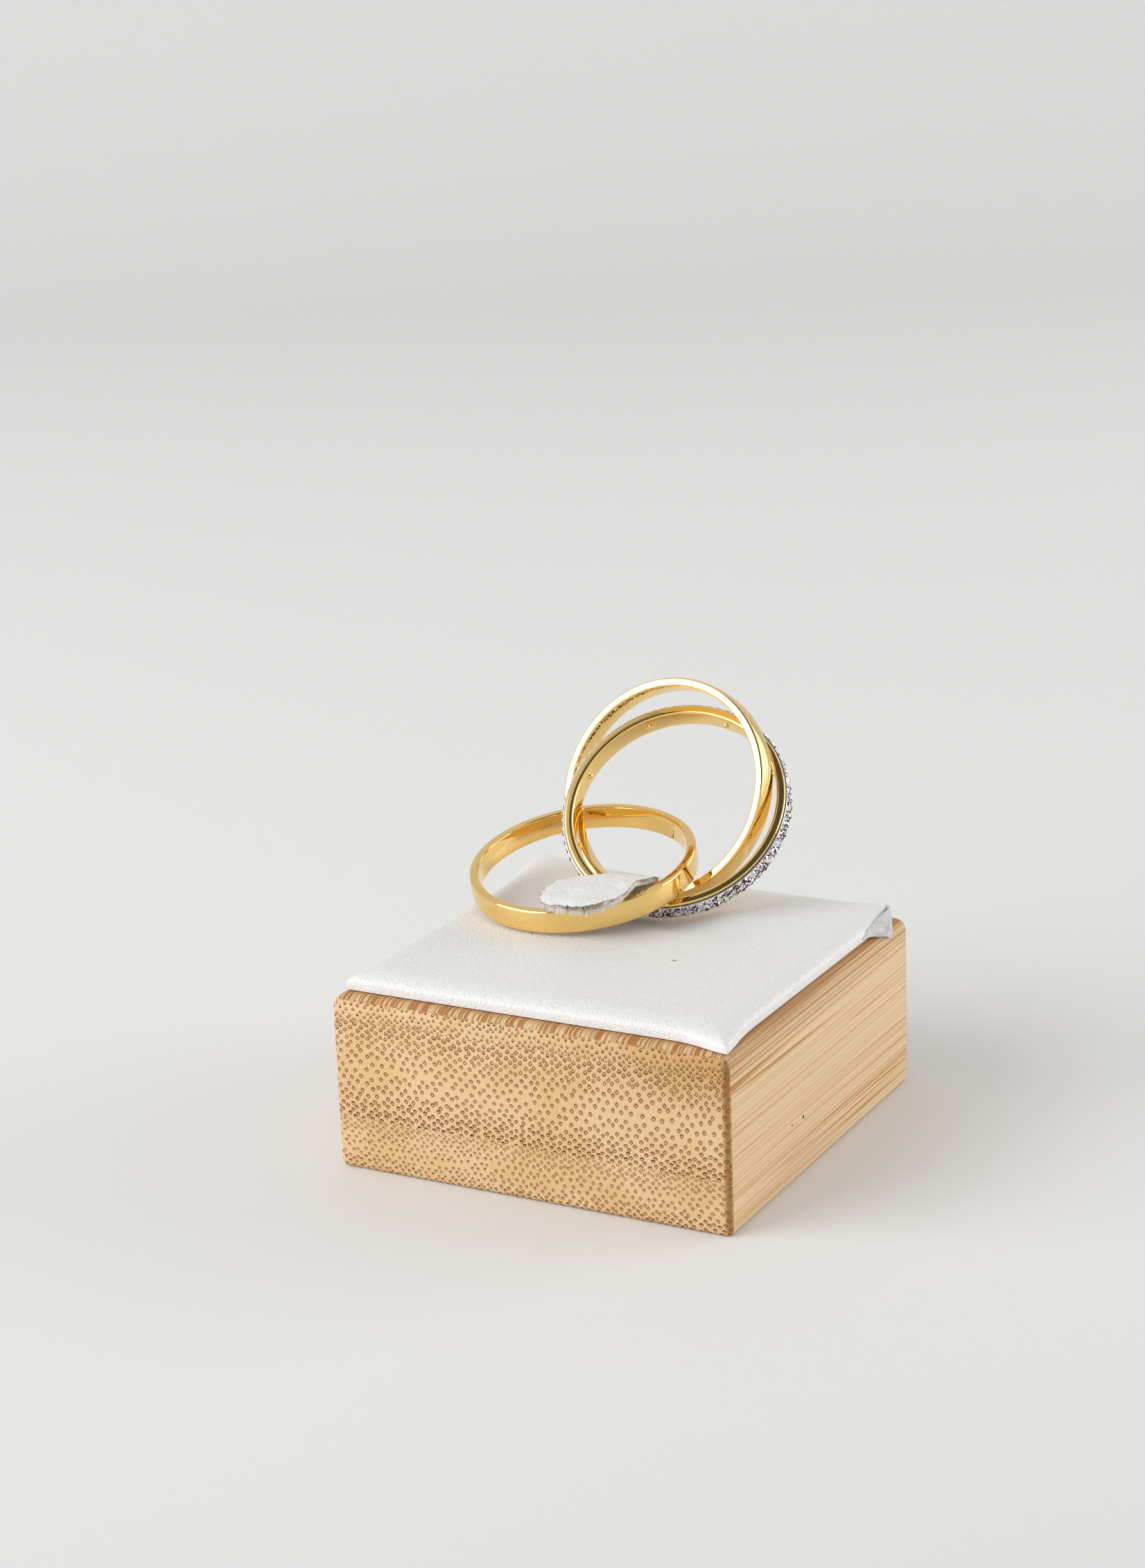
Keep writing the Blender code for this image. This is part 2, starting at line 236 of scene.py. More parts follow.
# Loose fibres on the tongue's cut edges
FUZZ_LENGTH = 0.34 * MM
FUZZ_RADIUS = 0.020 * MM
FUZZ_DENSITY = 7.5e7
FUZZ_SIZES = (0.45, 1.1)
FUZZ_LEAN = 1.2
FUZZ_TURN = 6.28
FUZZ_SEED = 3
LOWEST_FACING = -0.75
FARTHEST_FACING = -0.1

# Leather folded over the block at the pad's far right corner: three rows from the
# pad's edge down to the free edge, each from the near to the far end, in mm
FOLD_THICKNESS = 0.24 * MM
# Share of the leather's colour on the fold: painted shade
FOLD_SHADE = 0.68
FOLD_RUFFLE = (0.9 * MM, 0.06 * MM, 17.0)
FOLD_ROWS = [
    [(17.85, 9.8, 16.45), (18.10, 11.6, 16.85), (18.20, 13.3, 17.10), (18.25, 15.0, 17.30),
     (18.25, 16.5, 17.40), (17.6, 17.35, 17.35)],
    [(18.00, 10.0, 16.40), (18.32, 11.7, 16.46), (18.36, 13.0, 16.30), (18.56, 14.3, 16.06),
     (18.74, 15.7, 16.43), (17.9, 17.2, 16.75)],
    [(18.05, 10.3, 16.34), (18.50, 11.8, 16.22), (18.78, 12.9, 15.95), (18.92, 13.9, 15.62),
     (19.02, 15.0, 15.27), (18.1, 16.85, 16.17)],
]

# Bands: middle in mm, compass angle and rise of the axis in degrees
BAND_POSES = {
    "plain_band_lying": {"middle": (-7.94, 7.29, 20.98), "azimuth": -96.35, "rise": 78.53},
    "plain_band_standing": {"middle": (-2.85, 14.45, 26.81), "azimuth": -95.47, "rise": 26.87},
    "stone_band": {"middle": (-1.33, 13.26, 25.42), "azimuth": -82.88, "rise": 44.85},
}
METAL_SHARP_ANGLE = 40
FACE_SHARES = (0.8, 0.5, 0.2, -0.2, -0.5, -0.8)
DRILL_SEGMENTS = 24
DRILL_RINGS = 16
BAND_BODIES = {
    "plain_band_lying": "root",
    "plain_band_standing": "standing_band",
    "stone_band": "stone_band_body",
}


class BlockSettings(bpy.types.PropertyGroup):
    """Sizes and colours of the bamboo block."""

    top_rounding: FloatProperty(
        name="Top rounding", description="Rounding of the upper edges",
        default=1.2 * MM, min=0.0, precision=5, unit='LENGTH')
    corner_rounding: FloatProperty(
        name="Corner rounding", description="Rounding of the upright edges",
        default=0.6 * MM, min=0.0, precision=5, unit='LENGTH')
    wood_color: FloatVectorProperty(
        name="Wood", description="Pale tissue between the fibres",
        default=(0.735, 0.512, 0.284), size=3, min=0.0, max=1.0, subtype='COLOR')
    fibre_color: FloatVectorProperty(
        name="Fibres", description="Dark fibre bundles of the end grain",
        default=(0.120, 0.034, 0.008), size=3, min=0.0, max=1.0, subtype='COLOR')


class LeatherSettings(bpy.types.PropertyGroup):
    """Sizes and colours of the white leather."""

    color: FloatVectorProperty(
        name="Leather", description="Finished grain side",
        default=(0.80, 0.795, 0.785), size=3, min=0.0, max=1.0, subtype='COLOR')
    flesh_color: FloatVectorProperty(
        name="Flesh side", description="Fibrous cut edge and underside",
        default=(0.90, 0.86, 0.79), size=3, min=0.0, max=1.0, subtype='COLOR')
    pebble_size: FloatProperty(
        name="Pebble size", description="Distance between two pebbles of the grain",
        default=0.22 * MM, min=0.05 * MM, precision=5, unit='LENGTH')


class BandSettings(bpy.types.PropertyGroup):
    """Sizes and colours of the gold bands."""

    bore_radius: FloatProperty(
        name="Bore radius", description="Inner radius of all three bands",
        default=9.6 * MM, precision=5, unit='LENGTH')
    wall: FloatProperty(
        name="Wall", description="Thickness of a band",
        default=0.85 * MM, precision=5, unit='LENGTH')
    width: FloatProperty(
        name="Width", description="Width of a band along its axis",
        default=2.2 * MM, precision=5, unit='LENGTH')
    edge_rounding: FloatProperty(
        name="Edge rounding", description="Polished rounding of every edge",
        default=0.22 * MM, precision=5, unit='LENGTH')
    crown: FloatProperty(
        name="Crown", description="How far the outer and the inner face bulge",
        default=0.05 * MM, precision=5, unit='LENGTH')
    steps: IntProperty(
        name="Steps", description="Faces round a band", default=288, min=24)
    gold_color: FloatVectorProperty(
        name="Gold", description="Reflected colour of the gold",
        default=(0.93, 0.645, 0.235), size=3, min=0.0, max=1.0, subtype='COLOR')


class StoneSettings(bpy.types.PropertyGroup):
    """Sizes and colours of the stone strip."""

    stones_per_row: IntProperty(
        name="Stones per row", description="Cut stones in each of the two rows",
        default=72, min=8)
    stone_radius: FloatProperty(
        name="Stone radius", description="Girdle radius of a cut stone",
        default=0.40 * MM, precision=5, unit='LENGTH')
    bead_radius: FloatProperty(
        name="Bead radius", description="Radius of the metal beads that hold the stones",
        default=0.12 * MM, precision=5, unit='LENGTH')
    metal_color: FloatVectorProperty(
        name="White metal", description="Reflected colour of the plated strip",
        default=(0.86, 0.85, 0.86), size=3, min=0.0, max=1.0, subtype='COLOR')


class StageSettings(bpy.types.PropertyGroup):
    """Floor and lights."""

    floor_color: FloatVectorProperty(
        name="Floor", description="Colour of the floor and the backdrop",
        default=(0.78, 0.78, 0.775), size=3, min=0.0, max=1.0, subtype='COLOR')
    key_power: FloatProperty(
        name="Key light", description="Power of the large light at the left",
        default=6.4, min=0.0, unit='POWER')
    side_power: FloatProperty(
        name="Side light", description="Power of the low light at the right",
        default=2.5, min=0.0, unit='POWER')
    world_strength: FloatProperty(
        name="Room light", description="Strength of the even light from all around",
        default=0.60, min=0.0)


class RingDisplaySettings(bpy.types.PropertyGroup):
    """All settings of the ring display."""

    block: PointerProperty(type=BlockSettings)
    leather: PointerProperty(type=LeatherSettings)
    bands: PointerProperty(type=BandSettings)
    stones: PointerProperty(type=StoneSettings)
    stage: PointerProperty(type=StageSettings)


# Nodes

def add_node(tree, kind, settings=None, inputs=None):
    """Add a node. An input is given a value, or the socket that feeds it."""
    node = tree.nodes.new(kind)
    for name, value in (settings or {}).items():
        setattr(node, name, value)
    for key, value in (inputs or {}).items():
        if isinstance(value, bpy.types.NodeSocket):
            tree.links.new(value, node.inputs[key])
        else:
            node.inputs[key].default_value = value
    return node


def new_tree(name, kind, inputs, outputs):
    """New node tree, its input node and its output node, from its sockets' names and kinds."""
    tree = bpy.data.node_groups.new(name, kind)
    for way, sockets in (('INPUT', inputs), ('OUTPUT', outputs)):
        for socket_name, socket_kind in sockets.items():
            tree.interface.new_socket(socket_name, in_out=way, socket_type='NodeSocket' + socket_kind)
    return tree, tree.nodes.new("NodeGroupInput"), tree.nodes.new("NodeGroupOutput")


def built_once(build):
    """Let a tree's builder give back the tree of its own name, once it is there."""
    def find_or_build():
        return bpy.data.node_groups.get(build.__name__) or build(build.__name__)
    return find_or_build


def calculate(tree, operation, *values):
    """Output socket of a Math node on these values or sockets."""
    return add_node(tree, "ShaderNodeMath", {"operation": operation},
                    dict(enumerate(values))).outputs[0]


def times(tree, first, second):
    """Output socket with the product of two values."""
    return calculate(tree, 'MULTIPLY', first, second)


def largest(tree, *values):
    """Output socket with the largest of several values."""
    found, *others = values
    for value in others:
        found = calculate(tree, 'MAXIMUM', found, value)
    return found


def vector_math(tree, operation, *vectors):
    """Output socket of a Vector Math node on these vectors."""
    kind = "Value" if operation in ('LENGTH', 'DISTANCE', 'DOT_PRODUCT') else "Vector"
    return add_node(tree, "ShaderNodeVectorMath", {"operation": operation},
                    dict(enumerate(vectors))).outputs[kind]


def split_axes(tree, vector):
    """The three output sockets of a vector's parts."""
    return add_node(tree, "ShaderNodeSeparateXYZ", inputs={0: vector}).outputs


def join_axes(tree, *parts):
    """Output socket of a vector made from its parts."""
    return add_node(tree, "ShaderNodeCombineXYZ", inputs=dict(enumerate(parts))).outputs[0]


def fade(tree, value, start, end):
    """0 where the value is at the start, 1 where it is at the end, smooth between."""
    return add_node(tree, "ShaderNodeMapRange", {"interpolation_type": 'SMOOTHSTEP'}, {
        "Value": value, "From Min": start, "From Max": end}).outputs[0]


def rescale(tree, value, low, high):
    """A share from 0 to 1, brought to the range from low to high."""
    return add_node(tree, "ShaderNodeMapRange", inputs={
        "Value": value, "To Min": low, "To Max": high}).outputs[0]


def noise_value(tree, place, scale, detail, **more):
    """Output socket of a soft noise from 0 to 1."""
    return add_node(tree, "ShaderNodeTexNoise", inputs={
        "Vector": place, "Scale": scale, "Detail": detail, **more}).outputs[0]


def mix_colors(tree, share, first, second):
    """Output socket of a colour mix. The second colour shows where the share is 1."""
    colors = [(*color, 1.0) if isinstance(color, tuple) else color for color in (first, second)]
    return add_node(tree, "ShaderNodeMix", {"data_type": 'RGBA'}, {
        0: share, 6: colors[0], 7: colors[1]}).outputs[2]


def tinted(color, *shares):
    """A colour with its channels multiplied by one share, or each by its own."""
    if len(shares) == 1:
        shares *= 3
    return tuple(channel * share for channel, share in zip(color, shares))


def add_spots(tree, color, place, spots, core, spot_color):
    """Round spots on a colour, solid within this share of their radius."""
    for *middle, radius in spots:
        away = vector_math(tree, 'DISTANCE', place, middle)
        color = mix_colors(tree, fade(tree, away, radius, radius * core), color, spot_color)
    return color


def add_bump(tree, shader, height, relief):
    """Give the shader a surface relief this deep."""
    bump = add_node(tree, "ShaderNodeBump", inputs={
        "Height": height, "Distance": relief, "Strength": RELIEF_STRENGTH})
    tree.links.new(bump.outputs["Normal"], shader.inputs["Normal"])


def finish_tree(tree, given, result, geometry):
    """End a geometry tree: its instances are made real and get their material."""
    realized = add_node(tree, "GeometryNodeRealizeInstances", inputs={"Geometry": geometry})
    finished = add_node(tree, "GeometryNodeSetMaterial", inputs={
        "Geometry": realized.outputs["Geometry"], "Material": given.outputs["Finish"]})
    tree.links.new(finished.outputs["Geometry"], result.inputs["Geometry"])
    return tree


# Meshes

def apply_tree(thing, tree, values):
    """Run a geometry tree on an object and keep its result as a plain mesh."""
    modifier = thing.modifiers.new(tree.name, 'NODES')
    modifier.node_group = tree
    for item in tree.interface.items_tree:
        if item.item_type == 'SOCKET' and item.in_out == 'INPUT' and item.name in values:
            modifier[item.identifier] = values[item.name]
    return keep_evaluated(thing)


def keep_evaluated(thing):
    """Replace an object's mesh by its evaluated mesh and remove its modifiers."""
    depsgraph = bpy.context.evaluated_depsgraph_get()
    mesh = bpy.data.meshes.new_from_object(thing.evaluated_get(depsgraph))
    mesh.name = thing.name
    thing.modifiers.clear()
    thing.data = mesh
    return thing


def add_piece(name, mesh):
    """Put a mesh into the scene as an object."""
    piece = bpy.data.objects.new(name, mesh)
    bpy.context.scene.collection.objects.link(piece)
    return piece


def mesh_from_bmesh(name, builder):
    """Turn a finished bmesh into a mesh and free it."""
    mesh = bpy.data.meshes.new(name)
    builder.to_mesh(mesh)
    builder.free()
    return mesh


def smooth(mesh, angle_deg):
    """Shade smooth, but keep edges sharp from this angle on."""
    mesh.shade_smooth()
    mesh.set_sharp_from_angle(angle=math.radians(angle_deg))


# Materials

def new_material(name):
    """New material with its tree, its Principled shader and its object coordinates in mm."""
    material = bpy.data.materials.new(name)
    material.use_nodes = True
    tree = material.node_tree
    shader = tree.nodes["Principled BSDF"]
    place = add_node(tree, "ShaderNodeTexCoord").outputs["Object"]
    in_mm = add_node(tree, "ShaderNodeVectorMath", {"operation": 'SCALE'},
                     {0: place, "Scale": 1 / MM}).outputs[0]
    return material, tree, shader, in_mm


def polished_metal(name, color, mark_scale, roughness):
    """Mirror-polished metal with the faintest polishing marks."""
    material, tree, shader, in_mm = new_material(name)
    shader.inputs["Base Color"].default_value = (*color, 1.0)
    shader.inputs["Metallic"].default_value = 1.0
    marks = noise_value(tree, in_mm, mark_scale, 3.0)
    tree.links.new(rescale(tree, marks, *roughness), shader.inputs["Roughness"])
    return material


@built_once
def leather_grain(name):
    """Shader group: the fine wormy grain of the leather's finished side, from mm."""
    tree, given, result = new_tree(name, 'ShaderNodeTree', {
        "Vector": 'Vector', "Pebble": 'Float'},
        {"Height": 'Float', "Crease": 'Float'})
    scale = calculate(tree, 'DIVIDE', 1.0, given.outputs["Pebble"])
    bend = add_node(tree, "ShaderNodeTexNoise", inputs={
        "Vector": given.outputs["Vector"], "Scale": scale, "Detail": 2.0})
    bent = vector_math(tree, 'MULTIPLY_ADD', bend.outputs["Color"], (0.22, 0.22, 0.22),
                       given.outputs["Vector"])
    pebbles = add_node(tree, "ShaderNodeTexVoronoi", {"feature": 'SMOOTH_F1'}, {
        "Vector": bent, "Scale": scale, "Smoothness": 0.6}).outputs["Distance"]
    folds = noise_value(tree, bent, times(tree, scale, 0.35), 3.0)
    height = calculate(tree, 'MULTIPLY_ADD', folds, 0.8, calculate(tree, 'SUBTRACT', 1.0, pebbles))
    tree.links.new(height, result.inputs["Height"])
    # Crease mask, which the leather's colour uses for painted shade in the creases
    tree.links.new(fade(tree, pebbles, 0.55, 0.85), result.inputs["Crease"])
    return tree


def leather_material(settings, name="white_leather", painted_shade=1.0):
    """White leather, grain side out: fine pebbles, satin finish and faint painted shade in the
    creases.
    """
    material, tree, shader, in_mm = new_material(name)
    grain = add_node(tree, "ShaderNodeGroup", {"node_tree": leather_grain()}, {
        "Vector": in_mm, "Pebble": settings.pebble_size / MM})
    # A share below 1 darkens the whole leather: painted shade, used on the fold
    leather_tone = tinted(settings.color, painted_shade)
    # Painted shade: the grain's creases are a little greyer
    color = mix_colors(tree, times(tree, grain.outputs["Crease"], 0.6), leather_tone, tinted(leather_tone, 0.88))
    flat = vector_math(tree, 'MULTIPLY', in_mm, (1.0, 1.0, 0.0))
    color = add_spots(tree, color, flat, PAD_SPECKS, 0.4, SPECK_COLOR)
    tree.links.new(color, shader.inputs["Base Color"])
    add_bump(tree, shader, grain.outputs["Height"], GRAIN_RELIEF)
    satin = rescale(tree, grain.outputs["Height"], *LEATHER_ROUGHNESS)
    tree.links.new(satin, shader.inputs["Roughness"])
    return material


def flesh_material(settings):
    """Flesh side and cut edges of the leather: cream fibres in a grey-brown mat.

    A ragged brown line of painted shadow runs under the grain side, by the points' depth in the
    leather.
    """
    material, tree, shader, in_mm = new_material("leather_flesh")
    fibres = noise_value(tree, in_mm, 6.0, 4.0, Roughness=0.7, Distortion=1.5)
    shadow_reach_noise = noise_value(tree, in_mm, 0.45, 2.0)
    flesh = tuple(settings.flesh_color)
    dark = tinted(flesh, 0.62, 0.56, 0.48)
    # Dark brown of the painted shadow under the grain side
    brown = tinted(flesh, 0.26, 0.19, 0.13)
    color = mix_colors(tree, fade(tree, fibres, 0.34, 0.54), dark, flesh)
    # Painted shadow line close under the grain side; a noise sets how far down it reaches
    depth = add_node(tree, "ShaderNodeAttribute", {"attribute_name": "depth"}).outputs["Fac"]
    depth = calculate(tree, 'MULTIPLY_ADD', fibres, 0.5, calculate(tree, 'SUBTRACT', depth, 0.25))
    reach = calculate(tree, 'MULTIPLY_ADD', fade(tree, shadow_reach_noise, 0.42, 0.62), 0.75, 0.18)
    line = fade(tree, calculate(tree, 'DIVIDE', depth, reach), 1.0, 0.1)
    color = mix_colors(tree, times(tree, line, 0.75), color, brown)
    tree.links.new(color, shader.inputs["Base Color"])
    shader.inputs["Roughness"].default_value = FLESH_ROUGHNESS
    add_bump(tree, shader, fibres, FLESH_RELIEF)
    return material


def stone_material():
    """Cut stones: mirror facets whose brightness, a painted glint or a painted dark reflection, is
    stored facet by facet.
    """
    material, tree, shader, in_mm = new_material("cut_stone")
    fire = add_node(tree, "ShaderNodeAttribute", {"attribute_name": "fire"}).outputs["Fac"]
    cells = add_node(tree, "ShaderNodeTexVoronoi", inputs={"Vector": in_mm, "Scale": 5.0})
    glint = split_axes(tree, cells.outputs["Color"])[0]
    light = calculate(tree, 'ADD', times(tree, fire, 0.55), times(tree, glint, 0.45))
    # Painted dark reflections and bright glints, facet by facet
    body = mix_colors(tree, fade(tree, light, 0.36, 0.54), DARK_REFLECTION_FACET, BRIGHT_GLINT_FACET)
    painted_fire = mix_colors(tree, fade(tree, fire, 0.955, 0.965), body, FIRE_GLINT_FACET)
    tree.links.new(painted_fire, shader.inputs["Base Color"])
    shader.inputs["Metallic"].default_value = 1.0
    shader.inputs["Roughness"].default_value = STONE_ROUGHNESS
    return material


@built_once
def fibre_bundles(name):
    """Shader group: four-lobed fibre bundles and their dark caps, on plane coordinates in mm.

    The bundles stand on a lattice turned by an eighth, so that their rows are staggered.
    """
    tree, given, result = new_tree(name, 'ShaderNodeTree', {
        "Across": 'Float', "Up": 'Float', "Crowding": 'Float',
        "Spacing": 'Float', "Cap Side": 'Float'},
        {"Ring": 'Float', "Cap": 'Float', "Core": 'Float'})
    across = calculate(tree, 'DIVIDE', given.outputs["Across"], given.outputs["Spacing"])
    up = calculate(tree, 'DIVIDE', given.outputs["Up"], given.outputs["Spacing"])
    eighth = math.sqrt(0.5)
    place = join_axes(tree, times(tree, calculate(tree, 'ADD', across, up), eighth),
                      times(tree, calculate(tree, 'SUBTRACT', up, across), eighth))
    cells = add_node(tree, "ShaderNodeTexVoronoi", {"voronoi_dimensions": '2D'}, {
        "Vector": place, "Scale": 1.0, "Randomness": BUNDLE_RANDOMNESS})
    offset = split_axes(tree, vector_math(tree, 'SUBTRACT', place, cells.outputs["Position"]))
    side = times(tree, calculate(tree, 'SUBTRACT', offset[0], offset[1]), eighth)
    rise = times(tree, calculate(tree, 'ADD', offset[0], offset[1]), eighth)
    rise = calculate(tree, 'DIVIDE', rise, given.outputs["Crowding"])
    ragged = add_node(tree, "ShaderNodeTexNoise", {"noise_dimensions": '2D'}, {
        "Vector": place, "Scale": 5.0, "Detail": 1.0}).outputs[0]
    ragged = calculate(tree, 'MULTIPLY_ADD', ragged, 0.12, -0.06)

    def lobe(middle_side, middle_rise, squash, size, soft):
        """1 inside an oval lobe of a bundle, mirrored left to right."""
        beside = calculate(tree, 'SUBTRACT', calculate(tree, 'ABSOLUTE', side), middle_side)
        above = times(tree, calculate(tree, 'SUBTRACT', rise, middle_rise), squash)
        away = vector_math(tree, 'LENGTH', join_axes(tree, beside, above))
        return fade(tree, calculate(tree, 'ADD', away, ragged), size + soft, size - soft)

    beside = lobe(0.21, 0.0, 0.8, 0.075, 0.05)
    above = lobe(0.0, 0.25, 1.0, 0.085, 0.05)
    below = lobe(0.0, -0.25, 1.0, 0.065, 0.05)
    lobes = largest(tree, beside, largest(tree, above, below))
    apart = vector_math(tree, 'LENGTH', join_axes(tree, side, rise))
    apart = calculate(tree, 'ADD', apart, ragged)
    from_rim = calculate(tree, 'ABSOLUTE', calculate(tree, 'SUBTRACT', apart, 0.20))
    ring = largest(tree, lobes, times(tree, fade(tree, from_rim, 0.14, 0.05), 0.65))
    cap_height = times(tree, given.outputs["Cap Side"], rise)
    cap = times(tree, fade(tree, from_rim, 0.20, 0.10), fade(tree, cap_height, -0.02, 0.12))
    chance = split_axes(tree, cells.outputs["Color"])[0]
    cap = times(tree, cap, calculate(tree, 'MULTIPLY_ADD', chance, 0.5, 0.5))
    tree.links.new(ring, result.inputs["Ring"])
    tree.links.new(cap, result.inputs["Cap"])
    tree.links.new(lobe(0.0, 0.0, 1.0, 0.10, 0.06), result.inputs["Core"])
    return tree


def inside_strip(tree, axes, strip):
    """1 inside a glued strip's box of the block's section, with a hard seam."""
    mask = None
    for axis in ("x", "z"):
        for side, edge in zip((1, -1), strip[axis]):
            share = fade(tree, axes[axis], edge - 0.08 * side, edge + 0.08 * side)
            mask = share if mask is None else times(tree, mask, share)
    return mask


def strip_bundles(tree, place, axes, strip):
    """Masks of one glued strip's bundle lobes, dark caps and pale cores."""
    low, high = strip["z"]
    share = calculate(tree, 'DIVIDE', calculate(tree, 'SUBTRACT', place["z"], low), high - low)
    wave = times(tree, share, 2 * math.pi)
    up = calculate(tree, 'MULTIPLY_ADD', calculate(tree, 'SINE', wave),
                   STRIP_EDGE_CROWDING * (high - low), place["z"])
    crowding = calculate(tree, 'MULTIPLY_ADD', calculate(tree, 'COSINE', wave),
                         STRIP_EDGE_CROWDING * 2 * math.pi, 1.0)
    cap_side = add_node(tree, "ShaderNodeMapRange", inputs={
        "Value": share, "From Min": strip["turn"] - CAP_TURN_SOFTNESS,
        "From Max": strip["turn"] + CAP_TURN_SOFTNESS, "To Min": 1.0, "To Max": -1.0}).outputs[0]
    bundles = add_node(tree, "ShaderNodeGroup", {"node_tree": fibre_bundles()}, {
        "Across": place["x"], "Up": up, "Crowding": crowding,
        "Spacing": strip["spacing"], "Cap Side": cap_side}).outputs
    foot, middle, head = strip["caps"]
    strength = middle
    for reach, end in ((CAP_FOOT_FADE, foot), (CAP_HEAD_FADE, head)):
        strength = calculate(tree, 'ADD', strength, times(
            tree, fade(tree, share, *reach), end - middle))
    mask = inside_strip(tree, axes, strip)
    return (times(tree, bundles["Ring"], times(tree, mask, strip["ring"])),
            times(tree, bundles["Cap"], times(tree, mask, strength)),
            times(tree, bundles["Core"], mask))


def bundle_masks(tree, in_mm, axes):
    """Rings, caps and cores of all strips' bundles, whose rows wander a little."""
    slow = vector_math(tree, 'MULTIPLY', in_mm, (0.09, 0.03, 0.09))
    wander = add_node(tree, "ShaderNodeTexNoise", inputs={
        "Vector": slow, "Scale": 1.0, "Detail": 1.0})
    drift = split_axes(tree, wander.outputs["Color"])
    place = {axis: calculate(tree, 'MULTIPLY_ADD', drift[i], 2.2, axes[axis])
             for axis, i in (("x", 0), ("z", 2))}
    place["z"] = calculate(tree, 'ADD', place["z"], -1.1)
    masks = [strip_bundles(tree, place, axes, strip) for strip in STRIPS]
    return [largest(tree, *kind) for kind in zip(*masks)]


def wood_streaks(tree, in_mm):
    """Noises drawn out along the fibres, and the ribs that also run down the edges."""
    along = vector_math(tree, 'MULTIPLY', in_mm, (1.0, 0.005, 1.0))
    streaks = {name: noise_value(tree, along, *look) for name, look in STREAKS.items()}
    down = vector_math(tree, 'MULTIPLY', in_mm, (1.0, 0.005, 0.02))
    streaks["rib"] = noise_value(tree, down, 4.2, 2.0, Roughness=0.6)
    return streaks


def level_lines(tree, value, width):
    """Thin lines where a noise passes its middle value."""
    away = calculate(tree, 'ABSOLUTE', calculate(tree, 'SUBTRACT', value, 0.5))
    return fade(tree, away, width, width * 0.2)


def end_face_color(tree, settings, in_mm, axes, tissue, masks):
    """The sawn end: pale tissue, aged towards one corner, with the bundles on it."""
    rings, caps, cores = masks
    wood = tuple(settings.wood_color)
    pale = tuple(min(channel, 1.0) for channel in tinted(wood, 1.10))
    cloud = noise_value(tree, in_mm, 0.16, 2.0)
    color = mix_colors(tree, fade(tree, cloud, 0.42, 0.60), wood, tinted(wood, 0.93, 0.86, 0.74))
    color = mix_colors(tree, fade(tree, tissue, 0.42, 0.75), color, pale)
    aged = times(tree, fade(tree, axes["x"], *AGED_X), fade(tree, axes["z"], *AGED_Z))
    color = mix_colors(tree, times(tree, aged, 0.75), color, tinted(wood, 0.78, 0.62, 0.42))
    color = mix_colors(tree, times(tree, cores, 0.6), color, pale)
    color = mix_colors(tree, rings, color, RING_COLOR)
    return mix_colors(tree, caps, color, tuple(settings.fibre_color))


def long_face_color(tree, axes, streaks, tissue):
    """The sides along the fibres with their thin lines, and the ribbed top with painted shade along
    the pad's edge.
    """
    color = mix_colors(tree, fade(tree, streaks["fine"], 0.35, 0.65), SIDE_PALE, SIDE_TAN)
    color = mix_colors(tree, times(tree, fade(tree, tissue, 0.55, 0.30), 0.30), color, SIDE_LINE)
    foot = fade(tree, axes["z"], *SIDE_FOOT)
    head = fade(tree, axes["z"], *SIDE_HEAD)
    strong = fade(tree, streaks["broad"], 0.38, 0.62)
    lines = times(tree, level_lines(tree, streaks["line"], 0.022),
                  calculate(tree, 'MULTIPLY_ADD', strong, 0.55, 0.4))
    close_lines = times(tree, level_lines(tree, streaks["close_line"], 0.035),
                        times(tree, largest(tree, foot, head), 0.9))
    color = mix_colors(tree, largest(tree, lines, close_lines), color, SIDE_LINE)
    color = mix_colors(tree, times(tree, head, 0.20), color, SIDE_BROWN)
    # Painted shade on the top along the pad's edge, in the ribs' colour
    beyond = [calculate(tree, 'SUBTRACT', calculate(tree, 'ABSOLUTE', axes[axis]), size / MM / 2)
              for axis, size in (("x", PAD_SIZE_X), ("y", PAD_SIZE_Y))]
    pad_shade = times(tree, fade(tree, largest(tree, *beyond), *PAD_SHADE_REACH), 0.60)
    ribs = times(tree, fade(tree, streaks["rib"], 0.40, 0.54), 0.95)
    top = mix_colors(tree, largest(tree, pad_shade, ribs), SIDE_TAN, RIB_AND_SHADE_COLOR)
    return mix_colors(tree, fade(tree, axes["z"], *TOP_FACE), color, top)


